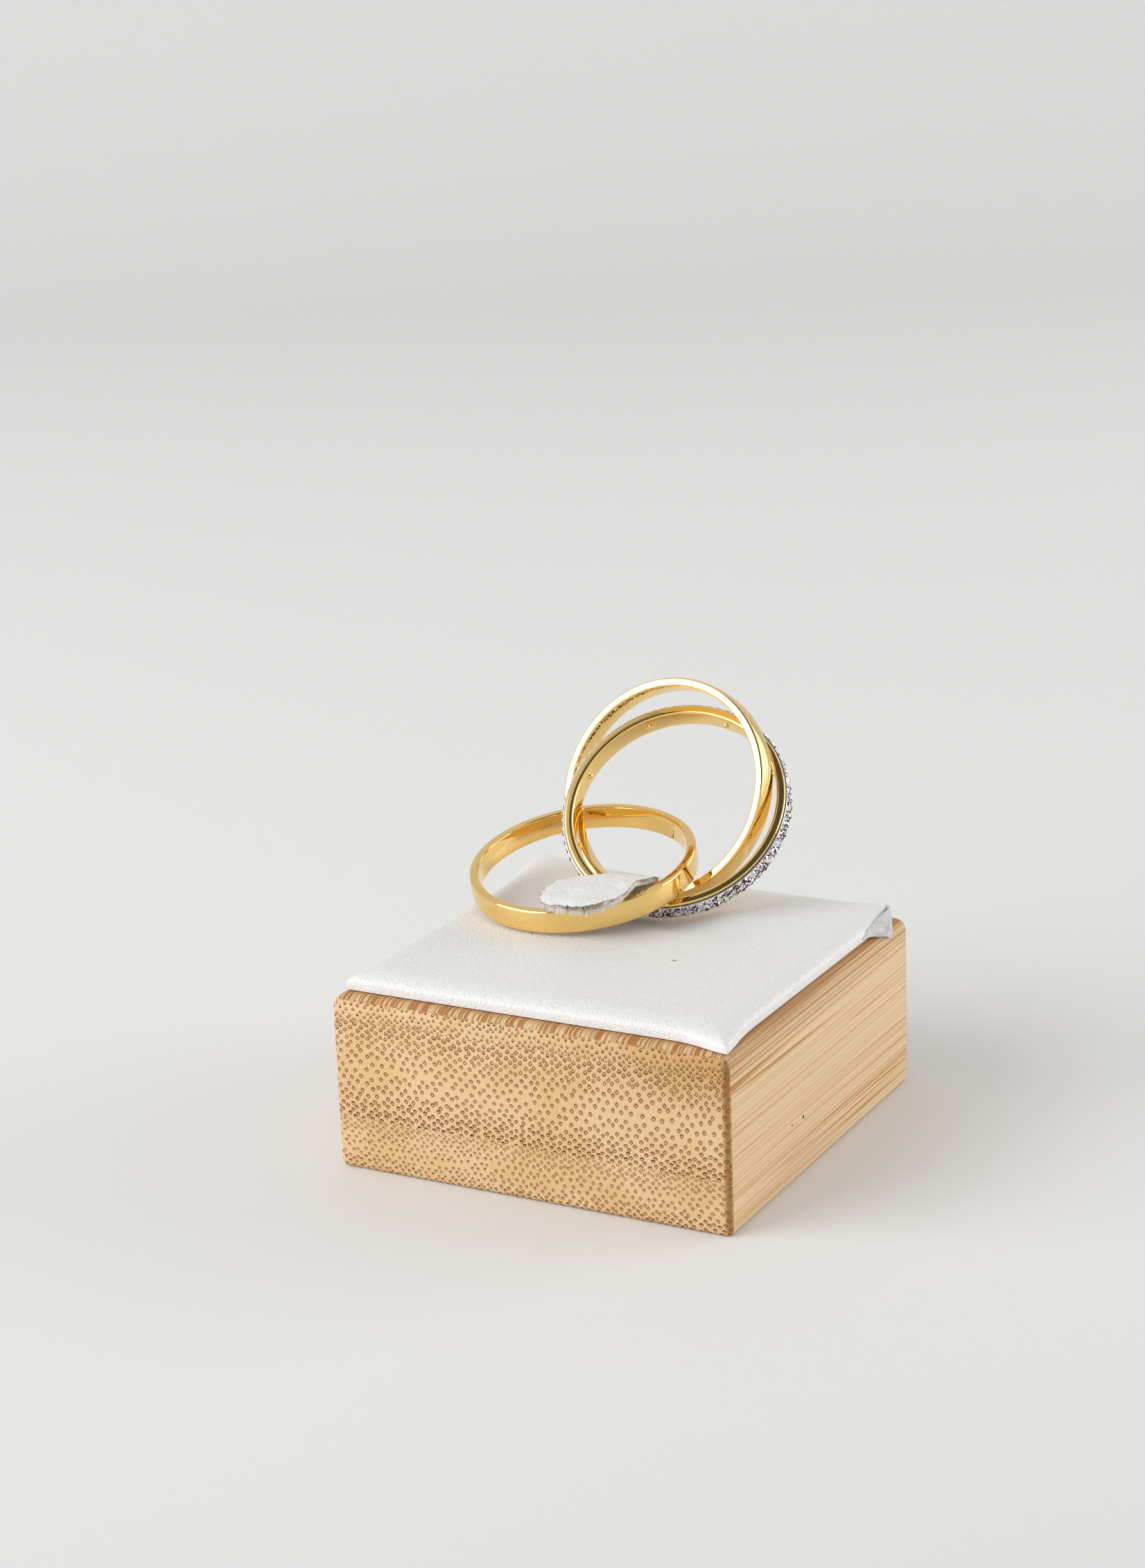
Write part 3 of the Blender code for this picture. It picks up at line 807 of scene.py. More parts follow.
def bamboo_material(settings):
    """Solid bamboo, glued from three strips: fibre bundles run along Y through it."""
    material, tree, shader, in_mm = new_material("bamboo")
    axes = dict(zip("xyz", split_axes(tree, in_mm)))
    streaks = wood_streaks(tree, in_mm)
    tissue = noise_value(tree, in_mm, 7.0, 2.0, Roughness=0.6)
    masks = bundle_masks(tree, in_mm, axes)
    ragged_top = calculate(tree, 'MULTIPLY_ADD', streaks["rib"], RIB_RAGGEDNESS, axes["z"])
    end_grain = times(tree, fade(tree, ragged_top, *RIB_ENDS),
                      fade(tree, calculate(tree, 'ABSOLUTE', axes["y"]), *END_FACE))
    color = mix_colors(tree, end_grain, long_face_color(tree, axes, streaks, tissue),
                       end_face_color(tree, settings, in_mm, axes, tissue, masks))
    scorched = times(tree, fade(tree, axes["x"], *SCORCHED_X), end_grain)
    color = mix_colors(tree, times(tree, scorched, 0.75), color, SCORCH_COLOR)
    color = add_spots(tree, color, in_mm, SIDE_SPECKS, 0.5, FLAW_COLOR)
    tree.links.new(color, shader.inputs["Base Color"])
    rings, caps, _ = masks
    pits = times(tree, largest(tree, times(tree, rings, 0.5), caps), end_grain)
    height = calculate(tree, 'SUBTRACT', times(tree, streaks["fine"], 0.6), pits)
    add_bump(tree, shader, height, WOOD_RELIEF)
    gloss = rescale(tree, streaks["fine"], *WOOD_ROUGHNESS)
    tree.links.new(gloss, shader.inputs["Roughness"])
    shader.inputs["Specular IOR Level"].default_value = WOOD_GLOSS
    return material


# Block

def build_block(settings):
    """Bamboo block with finely rounded edges."""
    builder = bmesh.new()
    bmesh.ops.create_cube(builder, size=1.0)
    bmesh.ops.scale(builder, vec=(BLOCK_SIDE, BLOCK_SIDE, BLOCK_HEIGHT), verts=builder.verts)
    weights = builder.edges.layers.float.new("bevel_weight_edge")
    for edge in builder.edges:
        first, second = (vert.co.z for vert in edge.verts)
        top = first > 0 and second > 0
        edge[weights] = 1.0 if top else settings.corner_rounding / settings.top_rounding
    bmesh.ops.translate(builder, vec=(0, 0, BLOCK_HEIGHT / 2), verts=builder.verts)
    block = add_piece("bamboo_block", mesh_from_bmesh("bamboo_block", builder))
    rounding = block.modifiers.new("rounding", 'BEVEL')
    rounding.limit_method = 'WEIGHT'
    rounding.width = settings.top_rounding
    rounding.segments = 8
    keep_evaluated(block)
    smooth(block.data, angle_deg=30)
    block.data.materials.append(bamboo_material(settings))
    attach(block, "root")
    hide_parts("display_block")


# Leather pad

def edge_roll(distance):
    """Share of the pad's full height at this distance inside its edge."""
    inside = min(max(distance / PAD_EDGE_ROLL, 0.0), 1.0)
    return math.sqrt(1.0 - (1.0 - inside) ** 2)


def dent_depth(x, y):
    """How far the standing bands press the leather down at this place."""
    depth = 0.0
    for dent in DENTS:
        across = (x / MM - dent["x"]) / dent["reach_x"]
        along = (y / MM - dent["y"]) / dent["reach_y"]
        depth = max(depth, dent["depth"] * MM * math.exp(-across ** 4 - along ** 4))
    return depth


def corner_shift(x, y):
    """How far the drawn-out corners move this place of the pad, as a vector."""
    shift = Vector((0.0, 0.0, 0.0))
    for corner in PAD_CORNERS:
        away = math.hypot(corner["side_x"] * PAD_SIZE_X / 2 - x,
                          corner["side_y"] * PAD_SIZE_Y / 2 - y)
        share = math.exp(-(away / (corner["reach"] * MM)) ** 2)
        pull = Vector((corner["pull_x"], corner["pull_y"], corner["lift"])) * MM
        shift += pull * share
    return shift


def pad_height(x, y):
    """Thickness of the pad at this place, before its corners are moved."""
    inside = min(PAD_SIZE_X / 2 - abs(x), PAD_SIZE_Y / 2 - abs(y))
    crown = (PAD_THICKNESS - PAD_EDGE_THICKNESS) * edge_roll(inside)
    return PAD_EDGE_THICKNESS + crown - dent_depth(x, y)


def spread_to_edges(share, size):
    """A place from -size/2 to size/2, with grid lines closer together near the ends."""
    outwards = 2 * share - 1
    return size / 2 * math.copysign(1 - (1 - abs(outwards)) ** 1.5, outwards)


def build_pad(settings, cells=120):
    """Leather-covered pad: flat underside, soft rolled edges, dents and corners."""
    builder = bmesh.new()
    bmesh.ops.create_grid(builder, x_segments=cells, y_segments=cells, size=0.5)
    raised = bmesh.ops.extrude_face_region(builder, geom=list(builder.faces))["geom"]
    upper = {item for item in raised if isinstance(item, bmesh.types.BMVert)}
    for vert in builder.verts:
        x = spread_to_edges(vert.co.x + 0.5, PAD_SIZE_X)
        y = spread_to_edges(vert.co.y + 0.5, PAD_SIZE_Y)
        shift = corner_shift(x, y)
        z = pad_height(x, y) + shift.z if vert in upper else 0.0
        vert.co = (x + shift.x, y + shift.y, PAD_SEAT + z)
    bmesh.ops.recalc_face_normals(builder, faces=builder.faces)
    pad = add_piece("leather_cushion", mesh_from_bmesh("leather_cushion", builder))
    smooth(pad.data, angle_deg=50)
    pad.data.materials.append(leather_material(settings))
    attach(pad, "root")
    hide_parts("leather_pad")


# Leather tongue

def along_curve(values, share):
    """The value at this share of a smooth curve through evenly spaced values."""
    ends = [2 * values[0] - values[1], *values, 2 * values[-1] - values[-2]]
    place = share * (len(values) - 1)
    first = min(int(place), len(values) - 2)
    t = place - first
    before, here, there, after = ends[first:first + 4]
    slope_here = (there - before) / 2
    slope_there = (after - here) / 2
    rest = 3 * (there - here) - 2 * slope_here - slope_there
    turn = 2 * (here - there) + slope_here + slope_there
    return here + t * (slope_here + t * (rest + t * turn))


def tab_point(across, along):
    """A point on the tongue's middle surface, both shares from 0 to 1."""
    here = {name: along_curve([row[name] for row in TAB_SECTIONS], along)
            for name in TAB_SECTIONS[0]}
    x = here["left"] + (here["right"] - here["left"]) * across
    z = (here["z_left"] * (1 - across) * (1 - 2 * across)
         + here["z_middle"] * 4 * across * (1 - across)
         + here["z_right"] * across * (2 * across - 1))
    return Vector((x, here["y"], z)) * MM


def ruffle(place, size, depth, seed):
    """A soft random height at this place, from -depth to depth."""
    shifted = place / size + Vector((seed, 0.0, 0.0))
    return depth * noise.fractal(shifted, 1.0, 2.0, 3)


def build_tongue(settings, columns=56, rows=150):
    """Leather tongue that holds the lying band down, wrinkled and ragged at its edge."""
    builder = bmesh.new()
    bmesh.ops.create_grid(builder, x_segments=columns, y_segments=rows, size=0.5)
    fullness = []
    for vert in builder.verts:
        across, along = vert.co.x + 0.5, vert.co.y + 0.5
        place = tab_point(across, along)
        side = (2 * across - 1) ** 5
        place.x += side * ruffle(place, *SIDE_RUFFLE)
        place.y -= max(0.0, 1 - along / TAB_END_REACH) * ruffle(place, *END_RUFFLE)
        place.z += ruffle(place, *BROAD_RUFFLE)
        place.z += ruffle(place, *FINE_RUFFLE)
        vert.co = place
        worn = max(0.0, min(1.0, (along - TAB_WEAR_START) / TAB_WEAR_REACH))
        worn *= max(0.0, 2 * across - 1)
        fullness.append(1 - TAB_WEAR * worn)
    tongue = add_piece("leather_tongue", mesh_from_bmesh("leather_tongue", builder))
    group = tongue.vertex_groups.new(name="fullness")
    for i, share in enumerate(fullness):
        group.add([i], share, 'REPLACE')
    wall = tongue.modifiers.new("leather_thickness", 'SOLIDIFY')
    wall.vertex_group = group.name
    wall.thickness = TAB_THICKNESS
    wall.offset = 0.0
    wall.use_even_offset = True
    wall.material_offset = 1
    wall.material_offset_rim = 1
    tongue.data.materials.append(leather_material(settings))
    tongue.data.materials.append(flesh_material(settings))
    keep_evaluated(tongue)
    tongue.vertex_groups.clear()
    mark_depth(tongue.data)
    smooth(tongue.data, angle_deg=60)
    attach(tongue, "root")
    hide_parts("leather_tab")
    build_fibres(tongue)


def build_fibres(tongue):
    """Loose fibres along the tongue's cut edges, in the colour of its flesh side."""
    fibre = fibre_object()
    fuzz = apply_tree(add_piece("tongue_fibres", bpy.data.meshes.new("tongue_fibres")), fuzz_tree(), {
        "Leather": tongue, "Fibre": fibre, "Density": FUZZ_DENSITY, "Seed": FUZZ_SEED,
        "Finish": tongue.data.materials[1]})
    bpy.data.objects.remove(fibre)
    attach(fuzz, "root")


def mark_depth(mesh):
    """Store each point's depth in the leather: 0 on the grain side, 1 on the flesh side."""
    depth = mesh.attributes.new("depth", 'FLOAT', 'POINT')
    grain_side = {i for face in mesh.polygons if face.material_index == 0
                  for i in face.vertices}
    depth.data.foreach_set("value", [0.0 if i in grain_side else 1.0
                                     for i in range(len(mesh.vertices))])


def fibre_object():
    """One loose fibre: a thin spike along Z."""
    builder = bmesh.new()
    bmesh.ops.create_cone(builder, segments=3, radius1=FUZZ_RADIUS, radius2=0.0,
                          depth=FUZZ_LENGTH)
    bmesh.ops.translate(builder, vec=(0, 0, FUZZ_LENGTH / 2), verts=builder.verts)
    return add_piece("fibre", mesh_from_bmesh("fibre", builder))


def fuzz_tree():
    """Geometry tree: loose fibres all over the cut edges of a piece of leather.

    The cut edges are the faces with the second material that look neither down nor back.
    """
    tree, given, result = new_tree("fuzz", 'GeometryNodeTree', {
        "Geometry": 'Geometry', "Leather": 'Object',
        "Fibre": 'Object', "Density": 'Float', "Seed": 'Int',
        "Finish": 'Material'}, {"Geometry": 'Geometry'})
    leather = add_node(tree, "GeometryNodeObjectInfo", inputs={"Object": given.outputs["Leather"]})
    fibre = add_node(tree, "GeometryNodeObjectInfo", inputs={"Object": given.outputs["Fibre"]})
    slot = add_node(tree, "GeometryNodeInputMaterialIndex").outputs[0]
    normal = add_node(tree, "GeometryNodeInputNormal").outputs[0]
    _, facing_back, facing_up = split_axes(tree, normal)
    cut = times(tree, slot, calculate(tree, 'GREATER_THAN', facing_up, LOWEST_FACING))
    cut = times(tree, cut, calculate(tree, 'LESS_THAN', facing_back, FARTHEST_FACING))
    spread = add_node(tree, "GeometryNodeDistributePointsOnFaces", inputs={
        "Mesh": leather.outputs["Geometry"], "Selection": cut,
        "Density": given.outputs["Density"], "Seed": given.outputs["Seed"]})
    tilt = add_node(tree, "FunctionNodeRandomValue", {"data_type": 'FLOAT_VECTOR'}, {
        "Min": (-FUZZ_LEAN, -FUZZ_LEAN, 0.0), "Max": (FUZZ_LEAN, FUZZ_LEAN, FUZZ_TURN),
        "Seed": given.outputs["Seed"]})
    turned = add_node(tree, "FunctionNodeRotateRotation", {"rotation_space": 'LOCAL'}, {
        "Rotation": spread.outputs["Rotation"], "Rotate By": tilt.outputs["Value"]})
    size = add_node(tree, "FunctionNodeRandomValue", {"data_type": 'FLOAT'}, {
        "Seed": given.outputs["Seed"]})
    size.inputs[2].default_value, size.inputs[3].default_value = FUZZ_SIZES
    fibres = add_node(tree, "GeometryNodeInstanceOnPoints", inputs={
        "Points": spread.outputs["Points"], "Instance": fibre.outputs["Geometry"],
        "Rotation": turned.outputs["Rotation"], "Scale": size.outputs[1]})
    return finish_tree(tree, given, result, fibres.outputs["Instances"])


def build_fold(settings, columns=36, rows=20):
    """Leather folded over the block's upper edge at the far right corner of the pad, in a darker copy
    of the leather: painted shade.
    """
    builder = bmesh.new()
    bmesh.ops.create_grid(builder, x_segments=columns, y_segments=rows, size=0.5)
    for vert in builder.verts:
        along, down = vert.co.x + 0.5, vert.co.y + 0.5
        point = [along_curve([along_curve([corner[axis] for corner in row], along)
                              for row in FOLD_ROWS], down) for axis in range(3)]
        vert.co = Vector(point) * MM
        vert.co.x += ruffle(vert.co, *FOLD_RUFFLE)
    fold = add_piece("leather_fold", mesh_from_bmesh("leather_fold", builder))
    wall = fold.modifiers.new("leather_thickness", 'SOLIDIFY')
    wall.thickness = FOLD_THICKNESS
    wall.offset = 0.0
    fold.data.materials.append(leather_material(settings, "folded_leather", FOLD_SHADE))
    keep_evaluated(fold)
    smooth(fold.data, angle_deg=60)
    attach(fold, "root")


# Bands

def corner_arc(radius, height, rounding, start_deg, turn_deg=90, steps=5):
    """Points of an arc, turning clockwise from its start angle."""
    points = []
    for i in range(steps + 1):
        angle = math.radians(start_deg - turn_deg * i / steps)
        points.append((radius + rounding * math.cos(angle), height + rounding * math.sin(angle)))
    return points


def side_points(side, reach, radius_at):
    """Points along an outer (+1) or inner (-1) face between its two corner arcs."""
    places = [side * reach * share for share in FACE_SHARES]
    return [(radius_at(height), height) for height in places]


def band_section(inner, outer, half_width, rounding, crown, channel=None):
    """A band's section as (radius, height) points, down its outer side first.

    A channel is (floor radius, half width), cut into the outer side.
    """
    reach = half_width - rounding
    low, high = inner + rounding, outer - rounding
    middle, quarter = (low + high) / 2, 0.25 * (high - low)
    if channel:
        floor, lip = channel
        cut_deg = math.degrees(math.asin(max(lip - reach, 0.0) / rounding))
        outside = [(floor, lip), (floor, -lip)]
        if lip < reach:
            outside = [(outer, lip), *outside, (outer, -lip)]
    else:
        cut_deg = 0.0
        outside = side_points(1, reach, lambda h: outer + crown * (1 - (h / reach) ** 2))
    return (corner_arc(high, reach, rounding, 90, 90 - cut_deg) + outside
            + corner_arc(high, -reach, rounding, -cut_deg, 90 - cut_deg)
            + [(middle + quarter, -half_width), (middle - quarter, -half_width)]
            + corner_arc(low, -reach, rounding, -90)
            + side_points(-1, reach, lambda h: inner - crown * (1 - (h / reach) ** 2))
            + corner_arc(low, reach, rounding, 180)
            + [(middle - quarter, half_width), (middle + quarter, half_width)])


def section_object(name, section, radius):
    """The section as a loop of edges, for the sweep: x outwards, y down the axis."""
    mesh = bpy.data.meshes.new(name)
    loop = [(i, (i + 1) % len(section)) for i in range(len(section))]
    points = [(r - radius, -height, 0.0) for r, height in reversed(section)]
    mesh.from_pydata(points, loop, [])
    return add_piece(name, mesh)


@built_once
def ring_sweep(name):
    """Geometry tree that sweeps a closed section once round a circle."""
    tree, given, result = new_tree(name, 'GeometryNodeTree', {
        "Geometry": 'Geometry', "Section": 'Object',
        "Radius": 'Float', "Steps": 'Int',
        "Finish": 'Material'}, {"Geometry": 'Geometry'})
    section = add_node(tree, "GeometryNodeObjectInfo", inputs={
        "Object": given.outputs["Section"]})
    profile = add_node(tree, "GeometryNodeMeshToCurve", inputs={
        "Mesh": section.outputs["Geometry"]})
    circle = add_node(tree, "GeometryNodeCurvePrimitiveCircle", inputs={
        "Resolution": given.outputs["Steps"], "Radius": given.outputs["Radius"]})
    sweep = add_node(tree, "GeometryNodeCurveToMesh", inputs={
        "Curve": circle.outputs["Curve"], "Profile Curve": profile.outputs["Curve"]})
    return finish_tree(tree, given, result, sweep.outputs["Mesh"])


def drilled_ring_tree():
    """Geometry tree that drills evenly spaced round-ended holes into a ring's bore."""
    tree, given, result = new_tree("drilled_ring", 'GeometryNodeTree', {
        "Geometry": 'Geometry', "Holes": 'Int',
        "Radius": 'Float', "Hole Radius": 'Float',
        "Start": 'Float', "Finish": 'Material'},
        {"Geometry": 'Geometry'})
    places = add_node(tree, "GeometryNodeMeshCircle", inputs={
        "Vertices": given.outputs["Holes"], "Radius": given.outputs["Radius"]})
    turn = join_axes(tree, 0.0, 0.0, given.outputs["Start"])
    turned = add_node(tree, "GeometryNodeTransform", inputs={
        "Geometry": places.outputs["Mesh"], "Rotation": turn})
    drill = add_node(tree, "GeometryNodeMeshUVSphere", inputs={
        "Segments": DRILL_SEGMENTS, "Rings": DRILL_RINGS, "Radius": given.outputs["Hole Radius"]})
    outwards = add_node(tree, "GeometryNodeInputPosition")
    aim = add_node(tree, "FunctionNodeAlignRotationToVector", {"axis": 'Z'}, {
        "Vector": outwards.outputs[0]})
    drills = add_node(tree, "GeometryNodeInstanceOnPoints", inputs={
        "Points": turned.outputs["Geometry"], "Instance": drill.outputs["Mesh"],
        "Rotation": aim.outputs["Rotation"]})
    solid_drills = add_node(tree, "GeometryNodeRealizeInstances", inputs={
        "Geometry": drills.outputs["Instances"]})
    drilled = add_node(tree, "GeometryNodeMeshBoolean", {"operation": 'DIFFERENCE'}, {
        "Mesh 1": given.outputs["Geometry"], "Mesh 2": solid_drills.outputs["Geometry"]})
    return finish_tree(tree, given, result, drilled.outputs["Mesh"])


def band_matrix(name):
    """Where a band's own axes are, from its middle and its axis."""
    pose = BAND_POSES[name]
    turn = Matrix.Rotation(math.radians(pose["azimuth"]), 4, 'Z')
    lean = Matrix.Rotation(math.radians(90 - pose["rise"]), 4, 'Y')
    return Matrix.Translation(Vector(pose["middle"]) * MM) @ turn @ lean


def sweep_ring(name, section, steps, finish):
    """A ring swept from its section, still round its own axis."""
    radius = sum(point[0] for point in section) / len(section)
    profile = section_object(name + "_section", section, radius)
    ring = apply_tree(add_piece(name, bpy.data.meshes.new(name)), ring_sweep(), {
        "Section": profile, "Radius": radius, "Steps": steps, "Finish": finish})
    bpy.data.objects.remove(profile)
    return ring


def seat_ring(ring, name):
    """Move a finished ring's mesh onto its band's axis and give it to its body."""
    ring.data.transform(band_matrix(name))
    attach(ring, BAND_BODIES[name])


def gold_band(name, settings, finish, channel=None):
    """A gold band of the common section, still round its own axis."""
    outer = settings.bore_radius + settings.wall
    section = band_section(settings.bore_radius, outer, settings.width / 2,
                           settings.edge_rounding, settings.crown, channel)
    return sweep_ring(name, section, settings.steps, finish)


def build_plain_bands(settings):
    """The lying and the standing plain band."""
    gold = polished_metal("yellow_gold", settings.gold_color, **GOLD_POLISH)
    for node in ("plain_band_lying", "plain_band_standing"):
        band = gold_band(node.replace("plain_band", "gold_band"), settings, gold)
        smooth(band.data, METAL_SHARP_ANGLE)
        seat_ring(band, node)
        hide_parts(node)


def build_stone_band(settings):
    """The gold band with its channel for the white strip and its drain holes."""
    gold = polished_metal("yellow_gold", settings.gold_color, **GOLD_POLISH)
    floor = settings.bore_radius + settings.wall - CHANNEL_DEPTH
    band = gold_band("gold_band_with_stones", settings, gold, (floor, CHANNEL_HALF_WIDTH))
    apply_tree(band, drilled_ring_tree(), {
        "Holes": HOLE_COUNT, "Radius": settings.bore_radius, "Hole Radius": HOLE_RADIUS,
        "Start": FIRST_HOLE, "Finish": gold})
    smooth(band.data, METAL_SHARP_ANGLE)
    seat_ring(band, "stone_band")
    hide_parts("stone_band")


# Stones

def crown_rings(radius, height, facets):
    """Table, star and girdle points of a cut stone's crown, each ring as a list."""
    rings = []
    for share, level, points, turn in CROWN_LEVELS:
        count = points * facets
        step = 2 * math.pi / count
        rings.append([(share * radius * math.cos(step * (i + turn)),
                       share * radius * math.sin(step * (i + turn)), level * height)
                      for i in range(count)])
    return rings


def cut_stone(name, radius, height, facets=8):
    """A cut stone: flat table, star facets, kites, girdle facets and a cone below."""
    builder = bmesh.new()
    table, star, girdle = [[builder.verts.new(point) for point in ring]
                           for ring in crown_rings(radius, height, facets)]
    point = builder.verts.new((0, 0, -height))
    builder.faces.new(table)
    for i in range(facets):
        after = (i + 1) % facets
        rim = [girdle[2 * i], girdle[2 * i + 1], girdle[(2 * i + 2) % (2 * facets)]]
        builder.faces.new((table[i], star[i], table[after]))
        builder.faces.new((table[i], star[i - 1], rim[0], star[i]))
        builder.faces.new((star[i], rim[0], rim[1]))
        builder.faces.new((star[i], rim[1], rim[2]))
        builder.faces.new((rim[1], rim[0], point))
        builder.faces.new((rim[2], rim[1], point))
    bmesh.ops.recalc_face_normals(builder, faces=builder.faces)
    return add_piece(name, mesh_from_bmesh(name, builder))


def stone_rows_tree():
    """Geometry tree: two staggered rows of copies round the Z axis, facing outwards.

    Rows stand at plus and minus the row offset, half a pitch apart. Each copy is
    turned by chance round its own axis and leans a little.
    """
    tree, given, result = new_tree("stone_rows", 'GeometryNodeTree', {
        "Geometry": 'Geometry', "Copy": 'Object',
        "Per Row": 'Int', "Radius": 'Float',
        "Row Offset": 'Float', "Start": 'Float',
        "Lean": 'Float', "Seed": 'Int',
        "Finish": 'Material'}, {"Geometry": 'Geometry'})
    places = add_node(tree, "GeometryNodeMeshCircle", inputs={
        "Vertices": given.outputs["Per Row"], "Radius": given.outputs["Radius"]})
    half_pitch = calculate(tree, 'DIVIDE', math.pi, given.outputs["Per Row"])
    rows = add_node(tree, "GeometryNodeJoinGeometry")
    for side, shift in ((1.0, 0.0), (-1.0, half_pitch)):
        angle = calculate(tree, 'ADD', given.outputs["Start"], shift)
        height = times(tree, given.outputs["Row Offset"], side)
        row = add_node(tree, "GeometryNodeTransform", inputs={
            "Geometry": places.outputs["Mesh"], "Translation": join_axes(tree, 0.0, 0.0, height),
            "Rotation": join_axes(tree, 0.0, 0.0, angle)})
        tree.links.new(row.outputs["Geometry"], rows.inputs["Geometry"])
    position = add_node(tree, "GeometryNodeInputPosition").outputs[0]
    outwards = vector_math(tree, 'MULTIPLY', position, (1.0, 1.0, 0.0))
    aim = add_node(tree, "FunctionNodeAlignRotationToVector", {"axis": 'Z'}, {
        "Vector": outwards}).outputs["Rotation"]
    lean = given.outputs["Lean"]
    lean_back = times(tree, lean, -1.0)
    least = join_axes(tree, lean_back, lean_back, 0.0)
    most = join_axes(tree, lean, lean, 2 * math.pi)
    chance = add_node(tree, "FunctionNodeRandomValue", {"data_type": 'FLOAT_VECTOR'}, {
        "Min": least, "Max": most, "Seed": given.outputs["Seed"]}).outputs["Value"]
    turned = add_node(tree, "FunctionNodeRotateRotation", {"rotation_space": 'LOCAL'}, {
        "Rotation": aim, "Rotate By": chance}).outputs["Rotation"]
    copied = add_node(tree, "GeometryNodeObjectInfo", inputs={"Object": given.outputs["Copy"]})
    copies = add_node(tree, "GeometryNodeInstanceOnPoints", inputs={
        "Points": rows.outputs["Geometry"], "Instance": copied.outputs["Geometry"],
        "Rotation": turned})
    realized = add_node(tree, "GeometryNodeRealizeInstances", inputs={
        "Geometry": copies.outputs["Instances"]})
    # A chance for each facet, which the stone material turns into painted glints and dark reflections
    facet_chance = add_node(tree, "FunctionNodeRandomValue", {"data_type": 'FLOAT'}, {
        "Seed": given.outputs["Seed"]}).outputs[1]
    fire = add_node(tree, "GeometryNodeStoreNamedAttribute", {
        "data_type": 'FLOAT', "domain": 'FACE'}, {
        "Geometry": realized.outputs["Geometry"], "Name": "fire", "Value": facet_chance})
    return finish_tree(tree, given, result, fire.outputs["Geometry"])


def place_rows(name, copied, tree, values):
    """Fill both rows with copies of one object and seat them on the stone band."""
    rows = apply_tree(add_piece(name, bpy.data.meshes.new(name)), tree, {"Copy": copied, **values})
    bpy.data.objects.remove(copied)
    seat_ring(rows, "stone_band")


def bead(name, radius):
    """Round bead of metal with few faces."""
    builder = bmesh.new()
    bmesh.ops.create_uvsphere(builder, u_segments=8, v_segments=6, radius=radius)
    mesh = mesh_from_bmesh(name, builder)
    mesh.shade_smooth()
    return add_piece(name, mesh)


def build_stone_strip(bands, stones):
    """White metal strip with a sunken floor, two rows of stones and their beads."""
    outer = bands.bore_radius + bands.wall
    section = band_section(outer + STRIP_FOOT, outer + STRIP_RIM, STRIP_HALF_WIDTH, STRIP_ROUNDING,
                           0.0, (outer + STRIP_FLOOR, STRIP_FLOOR_HALF_WIDTH))
    metal = polished_metal("white_metal", stones.metal_color, **WHITE_METAL_POLISH)
    strip = sweep_ring("white_strip", section, bands.steps, metal)
    smooth(strip.data, METAL_SHARP_ANGLE)
    seat_ring(strip, "stone_band")
    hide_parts("stone_strip")

    tree = stone_rows_tree()
    rows = {"Per Row": stones.stones_per_row, "Start": 0.0}
    place_rows("cut_stones", cut_stone("stone", stones.stone_radius, STONE_HEIGHT), tree, {
        **rows, "Radius": outer + STONE_SEAT, "Row Offset": STONE_ROW, "Lean": STONE_LEAN,
        "Seed": STONE_SEED, "Finish": stone_material()})
    half_pitch = math.pi / stones.stones_per_row
    for name, offset in BEAD_ROWS.items():
        place_rows(name, bead("bead", stones.bead_radius), tree, {
            **rows, "Start": half_pitch, "Radius": outer + BEAD_SEAT, "Row Offset": offset,
            "Lean": 0.0, "Seed": BEAD_SEED, "Finish": metal})


# Stage

def floor_profile():
    """Points (depth, height) of the floor and of the backdrop that it sweeps up into."""
    profile = [(FLOOR_FRONT, 0.0), (FLOOR_DEPTH - BACKDROP_BEND, 0.0)]
    for i in range(1, BEND_STEPS + 1):
        angle = math.pi / 2 * i / BEND_STEPS
        profile.append((FLOOR_DEPTH - BACKDROP_BEND + BACKDROP_BEND * math.sin(angle),
                        BACKDROP_BEND - BACKDROP_BEND * math.cos(angle)))
    return [*profile, (FLOOR_DEPTH, BACKDROP_HEIGHT)]


def build_floor(settings):
    """Pale floor that sweeps up into a backdrop behind the block, with painted shade towards the
    front.
    """
    builder = bmesh.new()
    rows = [[builder.verts.new((side * FLOOR_HALF_WIDTH, y, z)) for side in (-1, 1)]
            for y, z in floor_profile()]
    for lower, upper in zip(rows, rows[1:]):
        builder.faces.new((lower[0], lower[1], upper[1], upper[0]))
    bmesh.ops.rotate(builder, verts=builder.verts, cent=(0, 0, 0),
                     matrix=Matrix.Rotation(VIEW_AZIMUTH, 3, 'Z'))
    floor = add_piece("floor", mesh_from_bmesh("floor", builder))
    smooth(floor.data, angle_deg=60)
    material, tree, shader, in_mm = new_material("pale_floor")
    # Painted shade: the floor grows darker towards the front
    near = vector_math(tree, 'DOT_PRODUCT', in_mm,
                       (math.sin(VIEW_AZIMUTH), -math.cos(VIEW_AZIMUTH), 0.0))
    pale = tuple(settings.floor_color)
    color = mix_colors(tree, fade(tree, near, *NEAR_FLOOR_REACH), pale,
                       tinted(pale, NEAR_FLOOR_SHADE))
    tree.links.new(color, shader.inputs["Base Color"])
    shader.inputs["Roughness"].default_value = FLOOR_ROUGHNESS
    floor.data.materials.append(material)


def add_light(name, place, power):
    """Soft rectangular light that looks at the ring from its place."""
    light = bpy.data.lights.new(name, 'AREA')
    light.shape = 'RECTANGLE'
    light.size, light.size_y = place["size"]
    light.energy = power
    lamp = bpy.data.objects.new(name, light)
    bpy.context.scene.collection.objects.link(lamp)
    direction = towards(*place["direction"])
    lamp.location = Vector(LIGHT_AIM) * MM + direction * place["distance"]
    lamp.rotation_euler = direction.to_track_quat('Z', 'Y').to_euler()


